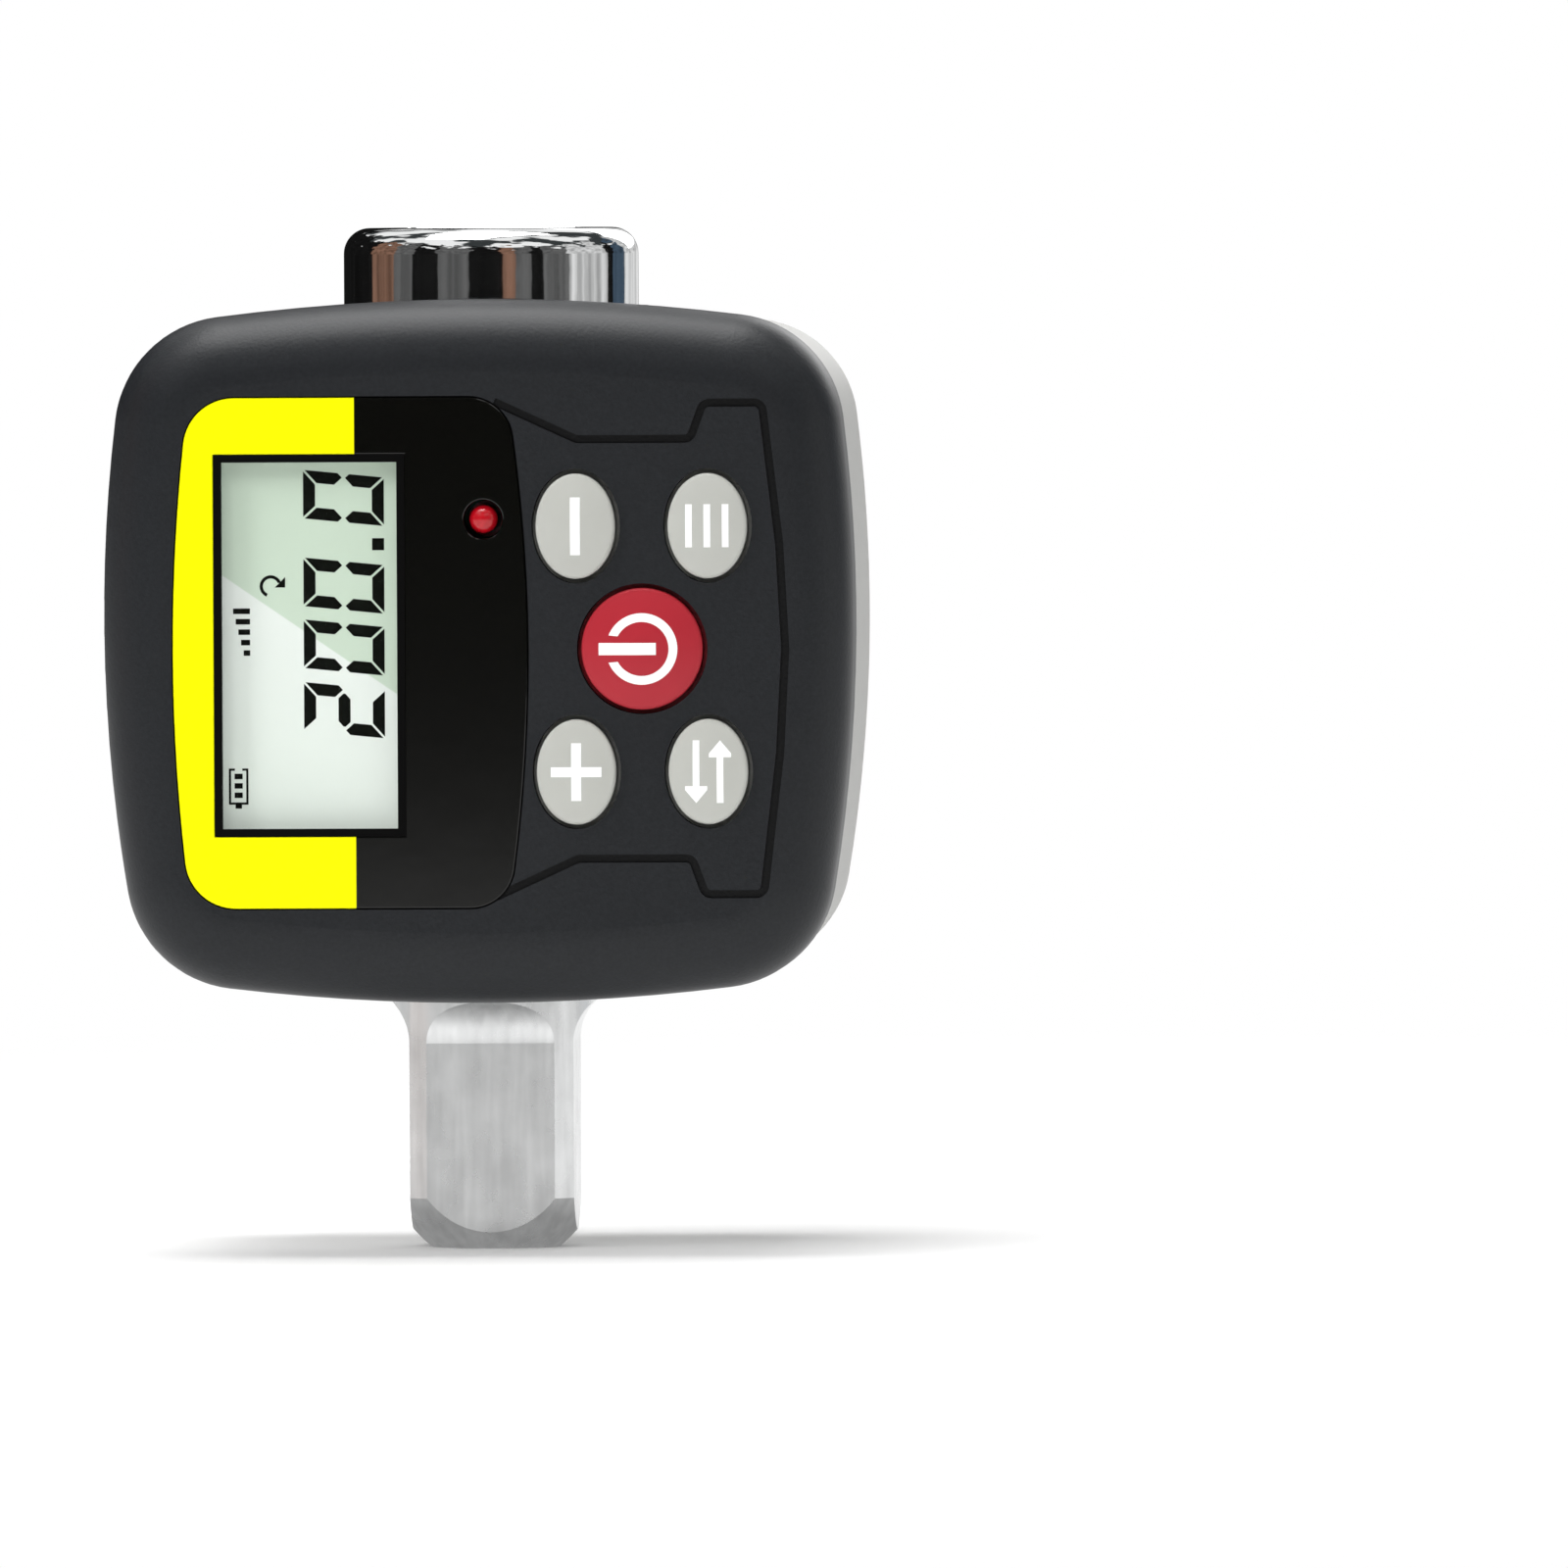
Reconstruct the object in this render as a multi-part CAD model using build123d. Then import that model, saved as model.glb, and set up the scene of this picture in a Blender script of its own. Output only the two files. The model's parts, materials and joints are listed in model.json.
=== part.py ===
from build123d import *
import os
from math import cos, radians, sin, sqrt, tan

# Digital torque adapter. A steel shaft with a female square at its top and a male square at its
# foot carries a two-part plastic case. Strain gauges on the shaft's neck feed a board behind the
# display, and two cells lie behind the shaft. Millimetres. +Z runs up the drive axis, the display
# faces -Y, and the origin is the middle of the male square's end face.

# How far a cut runs past the face that it opens
overrun = 1.0

# Male drive: a turned bar with four milled flats
drive_square = 12.7
drive_bar_dia = 16.1
drive_reach = 19.4
flat_length = 15.9
cutter_radius = 4.0
tip_face_dia = 10.0
tip_round = 3.9
tip_bulge = 0.2
detent_height = 8.0
ball_dia = 3.97
ball_proud = 1.05
ball_clearance = 0.05
ball_bore_depth = 7.2
detent_wire = 0.35
detent_turns = 3

# Female drive: a bored boss
boss_dia = 22.8
boss_reach = 5.45
boss_round = 2.0
socket_square = 12.9
socket_depth = 17.0
socket_chamfer = 0.4
socket_corner = 0.8
socket_floor = 2.4
drill_point = 1.6
drill_margin = 0.4
recess_ball_dia = 5.0
recess_depth = 0.9

# Shaft between its two ends
journal_dia = 18.0
journal_start = 1.2
flange_dia = 22.4
flange_height = 3.5
neck_dia = 15.2
neck_flats = 12.4
neck_blend = 3.0
neck_shoulder = 0.5
clip_groove_depth = 0.9
clip_thickness = 1.2
clip_rim = 1.5
clip_opening = 80.0
set_screw_dia = 3.0
set_screw_length = 4.0
set_screw_dimple = 0.6
hex_socket = 1.5

# Bushes that carry the shaft in the case
bush_wall = 0.7
bush_flange = 0.8
bush_flange_rim = 0.9
bush_setback = 0.6
running_clearance = 0.05
collar_wall = 1.3
collar_length = 6.5

# Cells, their contacts and the door
cell_dia = 10.5
cell_length = 44.5
cell_nub_dia = 3.8
cell_nub_height = 1.0
cell_edge_round = 0.4
cell_clearance = 0.05
cell_gap = 0.4
cell_side_gap = 0.3
contact_thickness = 0.4
contact_room = 2.35
contact_width = 8.0
contact_dimple_dia = 3.0
tab_width = 3.0
tab_reach = 3.0
tab_clearance = 0.2
spring_wire = 0.6
spring_turns = 2
spring_dia = 6.0
cell_floor = 1.2
cell_wall = 2.4
shaft_to_cells = 0.8
door_thickness = 2.0
door_edge_flat = 0.02
door_gap = 0.25
door_ledge = 1.0
door_seat_gap = 0.1
door_mouth_gap = 0.35
ledge_thickness = 1.2
door_pin_dia = 1.2
door_pin_length = 1.1
snap_bump_dia = 0.3
snap_bump_length = 0.6
snap_bump_place = 15.0
notch_radius = 12.0
notch_depth = 1.0
rib_count = 3
rib_pitch = 1.8
rib_width = 0.7
rib_length = 14.0
rib_depth = 0.4
rib_edge = 3.6

# Case
wall = 2.0
case_height = 54.0
case_side_room = 6.55
side_bulge = 2.45
side_crown = 2.5
end_bulge = 2.2
corner_radius = 9.0
meeting_steps = 8
front_round = 5.5
rear_round = 4.0
rear_step = 0.25
rear_draft = 0.6
lip_clearance = 0.15
lip_thickness = 1.0
lip_root = 3.0
lip_to_board = 0.5
seal_edge = 0.6
seal_width = 0.9
seal_depth = 0.8

# Board and display stack, from the front wall inwards
glass_thickness = 2.0
strip_height = 1.9
stack_clearance = 0.2
board_thickness = 1.6
board_to_joint = 2.3
board_inset = 0.8
lens_thickness = 0.8
lens_clearance = 0.1
lens_side_margin = 5.55
lens_width = 27.42
lens_margin = 7.35
lens_left_bulge = 1.32
lens_right_bulge = 1.56
lens_left_radius = 4.0
lens_right_radius = 3.5
window_width = 13.46
window_side = 10.59
window_rise = 0.58
window_margin = 5.62
frame_rim = 0.6
window_ledge = 0.25
glass_rim_side = 1.7
glass_rim_end = 1.6
holder_wall = 1.1
holder_ledge = 1.0
strip_width = 2.4
led_side = 3.47
led_rise = 10.2
led_dia = 2.2
led_hole_dia = 3.0
led_flange_dia = 2.8
led_flange_height = 0.8
led_proud = 0.3

# Keypad
keypad_rise = 0.25
button_near_side = 3.63
button_far_side = 5.9
button_spread = 9.4
button_width = 6.08
button_height = 8.05
power_dia = 9.3
button_gap = 0.35
button_proud = 1.1
button_dome = 14.0
button_edge = 0.3
button_flange = 0.8
button_flange_rim = 0.7
button_seat_gap = 0.1
button_travel = 0.8
press_clearance = 0.1
membrane_thickness = 1.0
membrane_border = 5.0
pill_dia = 3.6
groove_width = 0.62
groove_depth = 0.45
groove_corner = 0.7
groove_waist = 3.6
groove_ear = 0.85
groove_edge = 5.0
groove_right_bulge = 1.7
groove_ear_width = 4.5
groove_ear_slope = 1.0
groove_waist_start = 3.7
groove_start = 2.6
groove_start_drop = 0.7

# Screws
screw_dia = 2.6
screw_head_dia = 4.6
screw_head_height = 1.8
screw_length = 10.0
screw_clearance = 0.1
head_clearance = 0.3
screw_seat = 3.2
screw_edge_x = 7.3
screw_edge_z = 8.0
post_wall = 1.4
post_gap = 0.4
board_screw_dia = 1.7
board_screw_head_dia = 3.2
board_screw_head_height = 1.0
board_screw_length = 3.6
board_post_wall = 1.0
board_screw_side = 3.17
board_screw_edge_z = 0.35
board_screw_lip_gap = 0.25
cross_arm = 0.7
cross_length = 2.8
cross_depth = 1.0

# Small parts
buzzer_dia = 9.0
buzzer_height = 3.0
buzzer_hole_dia = 1.6
buzzer_hole_depth = 2.0
buzzer_side = 14.8
chip_shift = 1.5
chip_side = 10.0
chip_height = 1.2
capacitor_count = 4
capacitor_pitch = 2.5
capacitor_width = 1.2
capacitor_length = 2.0
gauge_length = 7.0
gauge_width = 5.0
gauge_thickness = 0.2
lead_width = 5.0
lead_thickness = 0.4
lead_bend = 2.0
lead_drop = 7.0
plug_height = 1.5
plug_rim = 0.8
wire_dia = 1.2
wire_shift = 1.9
wire_lead_in = 4.8
wire_bend = 7.2

# Depths along Y, worked out from the shaft outwards
boss_r = boss_dia / 2
journal_r = journal_dia / 2
upper_bore_r = boss_r + 2 * running_clearance + bush_wall
lower_bore_r = journal_r + 2 * running_clearance + bush_wall
joint_y = -(upper_bore_r + collar_wall)
board_rear_y = joint_y - board_to_joint
board_front_y = board_rear_y - board_thickness
glass_rear_y = board_front_y - strip_height
glass_front_y = glass_rear_y - glass_thickness
inner_front_y = glass_front_y - stack_clearance
front_y = inner_front_y - wall
lens_rear_y = front_y + lens_thickness
screw_seat_y = joint_y + screw_seat
cell_floor_y = boss_r + shaft_to_cells + cell_floor
cell_y = cell_floor_y + cell_clearance + cell_dia / 2
door_inner_y = cell_y + cell_dia / 2 + cell_clearance
rear_y = door_inner_y + door_thickness

# Heights along Z, from the tip upwards
case_low = drive_reach
case_high = case_low + case_height
case_mid = (case_low + case_high) / 2
boss_top = case_high + boss_reach
lower_collar_top = case_low + collar_length
upper_collar_low = case_high - collar_length
flange_low = lower_collar_top + bush_flange + running_clearance
flange_top = flange_low + flange_height
clip_top = upper_collar_low - bush_flange - running_clearance
clip_low = clip_top - clip_thickness
socket_low = boss_top - socket_depth
neck_low = flange_top + neck_blend
neck_top = socket_low - socket_floor - neck_blend
gauge_z = (neck_low + neck_top) / 2
set_screw_rise = (case_low + lower_collar_top) / 2 - case_mid

# Places in the front view, measured from the case's middle
half_width = cell_length / 2 + case_side_room
half_height = case_height / 2
lens_half = half_height - lens_margin
lens_left = lens_side_margin - half_width
lens_right = lens_left + lens_width
window_x = lens_left + window_side
led_x = lens_right - led_side
groove_right_x = half_width - groove_edge
window_height = 2 * (lens_half - window_margin)
glass_width = window_width + 2 * glass_rim_side
glass_height = window_height + 2 * glass_rim_end
screw_x = half_width - screw_edge_x
screw_z = half_height - screw_edge_z
screw_places = [(sx * screw_x, sz * screw_z) for sx in (-1, 1) for sz in (-1, 1)]
board_screw_z = lens_half - board_screw_edge_z
board_screw_lip_x = half_width - wall - lip_clearance - lip_thickness - board_screw_lip_gap
board_screw_places = [
    (lens_right - board_screw_side, board_screw_z),
    (lens_right - board_screw_side, -board_screw_z),
    (board_screw_lip_x - board_screw_head_dia / 2, 0),
]
button_near_x = lens_right + button_near_side
button_far_x = groove_right_x - button_far_side
power_x = (button_near_x + button_far_x) / 2
buttons = {
    "button_minus": (button_near_x, keypad_rise + button_spread),
    "button_mode": (button_far_x, keypad_rise + button_spread),
    "button_power": (power_x, keypad_rise),
    "button_plus": (button_near_x, keypad_rise - button_spread),
    "button_unit": (button_far_x, keypad_rise - button_spread),
}
chip_x = window_x + chip_shift
buzzer_x = half_width - buzzer_side
pocket_half_x = cell_length / 2 + contact_room
pocket_half_z = cell_dia + cell_gap / 2 + cell_side_gap
mouth_half_x = cell_length / 2 + door_mouth_gap
recess_half_x = mouth_half_x + door_ledge
recess_half_z = pocket_half_z + cell_wall - door_gap - running_clearance
cell_rise = (cell_dia + cell_gap) / 2
hinge_y = rear_y - door_thickness / 2
hinge_rise = recess_half_z - door_gap - door_thickness / 2


def front_plane(y):
    """A plane seen from the front: its x is X and its y is the height above the case's middle."""
    return Plane(origin=(0, y, case_mid), x_dir=(1, 0, 0), z_dir=(0, -1, 0))


def slab(shape, y_rear, y_front):
    """Extrudes a front-view shape between two depths."""
    return extrude(front_plane(y_rear) * shape, y_rear - y_front)


def rod(radius, y_rear, y_front, x, z):
    """A round bar along Y at a place in the front view."""
    return slab(Pos(x, z) * Circle(radius), y_rear, y_front)


def sleeve(outer, inner, z_low, z_high):
    """A ring round the drive axis."""
    return Pos(0, 0, z_low) * extrude(Circle(outer) - Circle(inner), z_high - z_low)


def column(radius, z_low, z_high):
    """A round bar on the drive axis."""
    return Pos(0, 0, z_low) * extrude(Circle(radius), z_high - z_low)


def arc_radius(half_chord, bulge):
    """The radius of an arc from its half chord and how far it bows out."""
    return (half_chord**2 + bulge**2) / (2 * bulge)


def outline(inset=0.0):
    """The case seen from the front, or the same shape drawn in by an inset."""
    side_r = arc_radius(half_height - end_bulge, side_bulge)
    end_r = arc_radius(half_width - side_bulge, end_bulge)
    corners = []
    for up in (1, -1):
        x = half_width - side_bulge
        z = half_height - end_bulge
        for _ in range(meeting_steps):
            x = sqrt((side_r - inset) ** 2 - (z - up * side_crown) ** 2) - side_r + half_width
            z = sqrt((end_r - inset) ** 2 - x**2) - end_r + half_height
        corners.append((x, up * z))
    (x_up, z_up), (x_low, z_low) = corners
    side = half_width - inset
    end = half_height - inset
    face = make_face(
        [
            ThreePointArc((-x_up, z_up), (0, end), (x_up, z_up)),
            ThreePointArc((x_up, z_up), (side, side_crown), (x_low, z_low)),
            ThreePointArc((x_low, z_low), (0, -end), (-x_low, z_low)),
            ThreePointArc((-x_low, z_low), (-side, side_crown), (-x_up, z_up)),
        ]
    )
    return fillet(face.vertices(), corner_radius - inset)


def drafted(inset, y_end):
    """The outline carried from the joint to the rear, drawn in as a moulding is."""
    shrink = (y_end - joint_y) * tan(radians(rear_draft))
    return loft([front_plane(joint_y) * outline(inset), front_plane(y_end) * outline(inset + shrink)])


def lens_outline(inset=0.0):
    """The display's face plate seen from the front, or the same shape drawn in by an inset."""
    z = lens_half - inset
    left_r = arc_radius(lens_half, lens_left_bulge)
    right_r = arc_radius(lens_half, lens_right_bulge)
    left = lens_left + left_r - sqrt((left_r - inset) ** 2 - z**2)
    right = lens_right - right_r + sqrt((right_r - inset) ** 2 - z**2)
    face = make_face(
        [
            Line((left, z), (right, z)),
            ThreePointArc((right, z), (lens_right - inset, 0), (right, -z)),
            Line((right, -z), (left, -z)),
            ThreePointArc((left, -z), (lens_left + inset, 0), (left, z)),
        ]
    )
    middle = (lens_left + lens_right) / 2
    left_corners = face.vertices().filter_by(lambda v: v.X < middle)
    face = fillet(left_corners, lens_left_radius - inset)
    right_corners = face.vertices().filter_by(lambda v: v.X > middle)
    return fillet(right_corners, lens_right_radius - inset)


def window_shape(margin):
    """The visible part of the display, widened by a margin."""
    return Pos(window_x, window_rise) * Rectangle(
        window_width + 2 * margin, window_height + 2 * margin
    )


def button_shape(name, margin):
    """A button's outline in the front view, widened by a margin."""
    if name == "button_power":
        shape = Circle(power_dia / 2 + margin)
    else:
        shape = Ellipse(button_width / 2 + margin, button_height / 2 + margin)
    return Pos(*buttons[name]) * shape


def keypad_groove():
    """The closed line round the buttons, which starts and ends at the face plate's corners."""
    waist = lens_half - groove_waist
    ear = lens_half - groove_ear
    far = groove_right_x - groove_right_bulge
    near = far - groove_ear_width
    upper = [
        (lens_right - groove_start, lens_half - groove_start_drop),
        (lens_right + groove_waist_start, waist),
        (near - groove_ear_slope, waist),
        (near, ear),
        (far, ear),
        (groove_right_x - groove_right_bulge / 4, waist / 2),
        (groove_right_x, 0),
    ]
    lower = [(x, -z) for x, z in reversed(upper[:-1])]
    path = FilletPolyline(*[(x, z + keypad_rise) for x, z in upper + lower], radius=groove_corner)
    return trace(path, groove_width)


def torque_shaft():
    """The one-piece shaft: male square, journal, flange, gauge neck and the boss with its socket."""
    bar_r = drive_bar_dia / 2
    tip_r = tip_face_dia / 2
    neck_r = neck_dia / 2
    flange_r = flange_dia / 2
    groove_r = boss_r - clip_groove_depth
    journal_z = case_low + journal_start
    curl = neck_blend * (1 - cos(radians(45)))
    tip = ThreePointArc(
        (tip_r, 0),
        ((tip_r + bar_r) / 2 + tip_bulge, tip_round / 2 - tip_bulge),
        (bar_r, tip_round),
    )
    lower = Polyline(
        (bar_r, tip_round),
        (bar_r, journal_z - journal_r + bar_r),
        (journal_r, journal_z),
        (journal_r, flange_low),
        (flange_r, flange_low),
        (flange_r, flange_top),
        (neck_r + neck_blend, flange_top),
    )
    lower_blend = ThreePointArc(
        (neck_r + neck_blend, flange_top),
        (neck_r + curl, flange_top + curl),
        (neck_r, neck_low),
    )
    neck = Line((neck_r, neck_low), (neck_r, neck_top))
    upper_blend = ThreePointArc(
        (neck_r, neck_top),
        (neck_r + curl, neck_top + neck_blend - curl),
        (neck_r + neck_blend, neck_top + neck_blend),
    )
    upper = Polyline(
        (neck_r + neck_blend, neck_top + neck_blend),
        (boss_r, neck_top + neck_blend),
        (boss_r, clip_low),
        (groove_r, clip_low),
        (groove_r, clip_top),
        (boss_r, clip_top),
        (boss_r, boss_top),
        (0, boss_top),
        (0, 0),
        (tip_r, 0),
    )
    profile = make_face([tip, *lower.edges(), lower_blend, neck, upper_blend, *upper.edges()])
    shaft = revolve(Plane.XZ * profile, Axis.Z)
    rim = shaft.edges().filter_by(GeomType.CIRCLE).group_by(Axis.Z)[-1]
    shaft = fillet(rim, boss_round)
    shaft -= drive_flats() + neck_flat_cuts()
    shaft -= drive_socket()
    mouth = shaft.faces().sort_by(Axis.Z)[-1].inner_wires()[0].edges()
    shaft = chamfer(mouth, socket_chamfer)
    ball_bore_end = drive_square / 2 - ball_bore_depth
    shaft -= rod(ball_dia / 2 + ball_clearance, drive_square, ball_bore_end, 0, detent_height - case_mid)
    return shaft - set_screw_bore()


def drive_flats():
    """What the cutter takes off the bar on its four sides, with the cutter's own run-out."""
    half = drive_square / 2
    far = half + cutter_radius
    cut = make_face(
        [
            Line((half, -overrun), (half, flat_length)),
            ThreePointArc(
                (half, flat_length),
                (far - cutter_radius * cos(radians(45)), flat_length + cutter_radius * sin(radians(45))),
                (far, flat_length + cutter_radius),
            ),
            Line((far, flat_length + cutter_radius), (far, -overrun)),
            Line((far, -overrun), (half, -overrun)),
        ]
    )
    side = extrude(Plane.XZ * cut, drive_bar_dia, both=True)
    return Part() + [Rot(0, 0, 90 * turn) * side for turn in range(4)]


def neck_flat_cuts():
    """What is milled off the neck to seat the four gauges."""
    low, high = neck_low + neck_shoulder, neck_top - neck_shoulder
    depth = neck_dia / 2
    block = Box(depth, neck_dia, high - low, align=(Align.MIN, Align.CENTER, Align.MIN))
    cut = Pos(neck_flats / 2, 0, low) * block
    return Part() + [Rot(0, 0, 90 * turn) * cut for turn in range(4)]


def drive_socket():
    """The female square with its ball recesses and drilled end."""
    bore = Pos(0, 0, socket_low) * extrude(
        RectangleRounded(socket_square, socket_square, socket_corner), socket_depth
    )
    drill = Pos(0, 0, socket_low - drill_point / 2) * Cone(0, socket_square / 2 - drill_margin, drill_point)
    ball_r = recess_ball_dia / 2
    reach = socket_square / 2 + recess_depth - ball_r
    recess = Pos(reach, 0, socket_low + detent_height) * Rot(0, 0, 180) * Sphere(ball_r)
    recesses = [Rot(0, 0, 90 * turn) * recess for turn in range(4)]
    return bore + drill + recesses


def set_screw_bore():
    """The tapped hole in collar and bush, and the dimple in the journal where the screw ends."""
    r = set_screw_dia / 2 + running_clearance
    return rod(r, set_screw_dimple - journal_r, joint_y - overrun, 0, set_screw_rise)


def shaft_set_screw():
    """A headless screw from the front that stops the shaft turning in the case."""
    tip_y = set_screw_dimple - journal_r - running_clearance
    screw = rod(set_screw_dia / 2, tip_y, tip_y - set_screw_length, 0, set_screw_rise)
    key = Pos(0, set_screw_rise) * RegularPolygon(hex_socket / 2, 6)
    return screw - slab(key, tip_y - set_screw_length / 2, tip_y - set_screw_length - overrun)


def upper_bush():
    """The flanged bush round the boss."""
    inner = boss_r + running_clearance
    outer = inner + bush_wall
    flange_low_z = upper_collar_low - bush_flange
    bush = sleeve(outer, inner, upper_collar_low, case_high - bush_setback)
    return bush + sleeve(outer + bush_flange_rim, inner, flange_low_z, upper_collar_low)


def lower_bush():
    """The flanged bush round the journal, which the shaft's flange sits on."""
    inner = journal_r + running_clearance
    outer = inner + bush_wall
    bush = sleeve(outer, inner, case_low + bush_setback, lower_collar_top)
    bush += sleeve(outer + bush_flange_rim, inner, lower_collar_top, lower_collar_top + bush_flange)
    return bush - set_screw_bore()


def retaining_clip():
    """The open ring in the boss's groove that keeps the shaft in the case."""
    outer = boss_r + clip_rim
    inner = boss_r - clip_groove_depth + running_clearance
    clip = sleeve(outer, inner, clip_low + running_clearance, clip_top - running_clearance)
    reach = 2 * outer
    half = radians(clip_opening / 2)
    wedge = Polyline(
        (0, 0),
        (-reach * sin(half), -reach * cos(half)),
        (reach * sin(half), -reach * cos(half)),
        close=True,
    )
    gap = Pos(0, 0, clip_low) * extrude(make_face(wedge), clip_thickness)
    return clip - gap


def strain_gauges():
    """Four foil gauges on the neck's flats."""
    foil = Pos(neck_flats / 2 + gauge_thickness / 2, 0, gauge_z) * Box(
        gauge_thickness, gauge_width, gauge_length
    )
    return [Rot(0, 0, 90 * turn) * foil for turn in range(4)]


def sensor_lead():
    """The flat lead from the front gauge to its plug on the board."""
    start_y = -(neck_flats / 2 + gauge_thickness + lead_thickness / 2)
    end_y = board_rear_y + plug_height
    low = gauge_z - lead_drop
    path = FilletPolyline((start_y, gauge_z), (start_y, low), (end_y, low), radius=lead_bend)
    band = Plane.YZ * trace(path, lead_thickness)
    return extrude(band, lead_width / 2, both=True)


def detent_ball():
    """The ball in the rear flat of the male square."""
    return Pos(0, drive_square / 2 + ball_proud - ball_dia / 2, detent_height) * Sphere(ball_dia / 2)


def detent_spring():
    """The coil behind the ball."""
    end = drive_square / 2 - ball_bore_depth
    ball_back = drive_square / 2 + ball_proud - ball_dia
    height = ball_back - end - detent_wire - 2 * running_clearance
    radius = ball_dia / 2 - detent_wire
    coil = coil_spring(height, radius, detent_wire, detent_turns)
    return Pos(0, end + running_clearance + detent_wire / 2, detent_height) * Rot(-90, 0, 0) * coil


def coil_spring(height, radius, wire, turns):
    """A coil of round wire that stands on the XY plane."""
    path = Helix(height / turns, height, radius)
    section = Plane(origin=path @ 0, z_dir=path % 0) * Circle(wire / 2)
    return sweep(section, path)


def rear_case():
    """The rear shell with its collars, screw wells, cell pocket and the lip that enters the cover."""
    body = drafted(rear_step, rear_y)
    body = fillet(body.faces().sort_by(Axis.Y)[-1].edges(), rear_round)
    inner = drafted(wall, rear_y - wall)
    inner = fillet(inner.faces().sort_by(Axis.Y)[-1].edges(), rear_round - wall / 2)
    inside = column(upper_bore_r + collar_wall, upper_collar_low, case_high)
    inside += column(lower_bore_r + collar_wall, case_low, lower_collar_top)
    well_r = screw_head_dia / 2 + head_clearance
    for x, z in screw_places:
        inside += rod(well_r + post_wall, rear_y, joint_y, x, z)
    pocket_box = Rectangle(2 * half_width, 2 * (pocket_half_z + cell_wall))
    inside += slab(pocket_box, rear_y, cell_floor_y - cell_floor)
    root = outline(wall - lip_clearance) - outline(wall + lip_clearance + lip_thickness)
    inside += slab(root, joint_y + lip_root, joint_y)
    case = body - inner + (inside & body)
    lip = outline(wall + lip_clearance) - outline(wall + lip_clearance + lip_thickness)
    lip_end_y = board_rear_y + lip_to_board
    post_r = screw_dia / 2 + post_wall + post_gap
    for x, z in screw_places:
        lip -= Pos(x, z) * Circle(post_r)
    case += slab(lip, joint_y, lip_end_y)
    case -= column(upper_bore_r, upper_collar_low - overrun, case_high + overrun)
    case -= column(lower_bore_r, case_low - overrun, lower_collar_top + overrun)
    case -= set_screw_bore()
    for x, z in screw_places:
        case -= rod(well_r, rear_y + overrun, screw_seat_y, x, z)
        case -= rod(screw_dia / 2 + screw_clearance, screw_seat_y, joint_y - overrun, x, z)
    case -= slab(seal_ring(0), joint_y + seal_depth, joint_y)
    return case - cell_pocket()


def seal_ring(margin):
    """The gasket's track in the rear case's rim."""
    return outline(seal_edge - margin) - outline(seal_edge + seal_width + margin)


def case_seal():
    """The rubber gasket between the case's halves."""
    return slab(seal_ring(-running_clearance), joint_y + seal_depth, joint_y)


def cell_pocket():
    """What is taken out of the rear case for cells, contacts, door, hinge pins and finger notch."""
    pocket = Rectangle(2 * pocket_half_x, 2 * pocket_half_z)
    mouth = Rectangle(2 * mouth_half_x, 2 * pocket_half_z)
    recess = Rectangle(2 * recess_half_x, 2 * recess_half_z)
    cut = slab(pocket, door_inner_y - ledge_thickness, cell_floor_y)
    cut += slab(mouth, rear_y + overrun, cell_floor_y)
    cut += slab(recess, rear_y + overrun, door_inner_y - door_seat_gap)
    pin_r = door_pin_dia / 2 + running_clearance
    pin_reach = recess_half_x - door_gap + door_pin_length + running_clearance
    pin = Cylinder(pin_r, 2 * pin_reach, rotation=(0, 90, 0))
    cut += Pos(0, hinge_y, case_mid + hinge_rise) * pin
    scoop = Pos(0, rear_y + notch_radius - notch_depth, case_mid - recess_half_z)
    cut += scoop * Sphere(notch_radius)
    tab_x = pocket_half_x - contact_thickness / 2
    slot = Rectangle(contact_thickness + 2 * tab_clearance, tab_width + 2 * tab_clearance)
    for sign in (-1, 1):
        cut += slab(Pos(tab_x, sign * cell_rise) * slot, cell_floor_y, joint_y / 2)
    return cut


def battery_door():
    """The door, with hinge pins at its top edge, press bumps at its foot and finger ribs."""
    half_x = recess_half_x - door_gap
    half_z = recess_half_z - door_gap
    plate = slab(Rectangle(2 * half_x, 2 * half_z), rear_y, door_inner_y)
    top_edges = plate.edges().filter_by(Axis.X).group_by(Axis.Z)[-1]
    door = fillet(top_edges, (door_thickness - door_edge_flat) / 2)
    pin = Cylinder(door_pin_dia / 2, 2 * (half_x + door_pin_length), rotation=(0, 90, 0))
    door += Pos(0, hinge_y, case_mid + hinge_rise) * pin
    bump = Cylinder(snap_bump_dia / 2, snap_bump_length, rotation=(0, 90, 0))
    for sign in (-1, 1):
        door += Pos(sign * snap_bump_place, hinge_y, case_mid - half_z) * bump
    rib_low = rib_edge - half_z
    for rib in range(rib_count):
        groove = Pos(0, rib_low + rib * rib_pitch) * SlotOverall(rib_length, rib_width)
        door -= slab(groove, rear_y + overrun, rear_y - rib_depth)
    return door


def cell(rise, nub_side):
    """One cell, its nub towards +X or -X."""
    can_length = cell_length - cell_nub_height
    can = Cylinder(cell_dia / 2, can_length, rotation=(0, 90, 0))
    can = fillet(can.edges().filter_by(GeomType.CIRCLE), cell_edge_round)
    nub = Cylinder(cell_nub_dia / 2, cell_nub_height, rotation=(0, 90, 0))
    body = Pos(-nub_side * cell_nub_height / 2, 0, 0) * can
    body += Pos(nub_side * (cell_length - cell_nub_height) / 2, 0, 0) * nub
    return Pos(0, cell_y, case_mid + rise) * body


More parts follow.
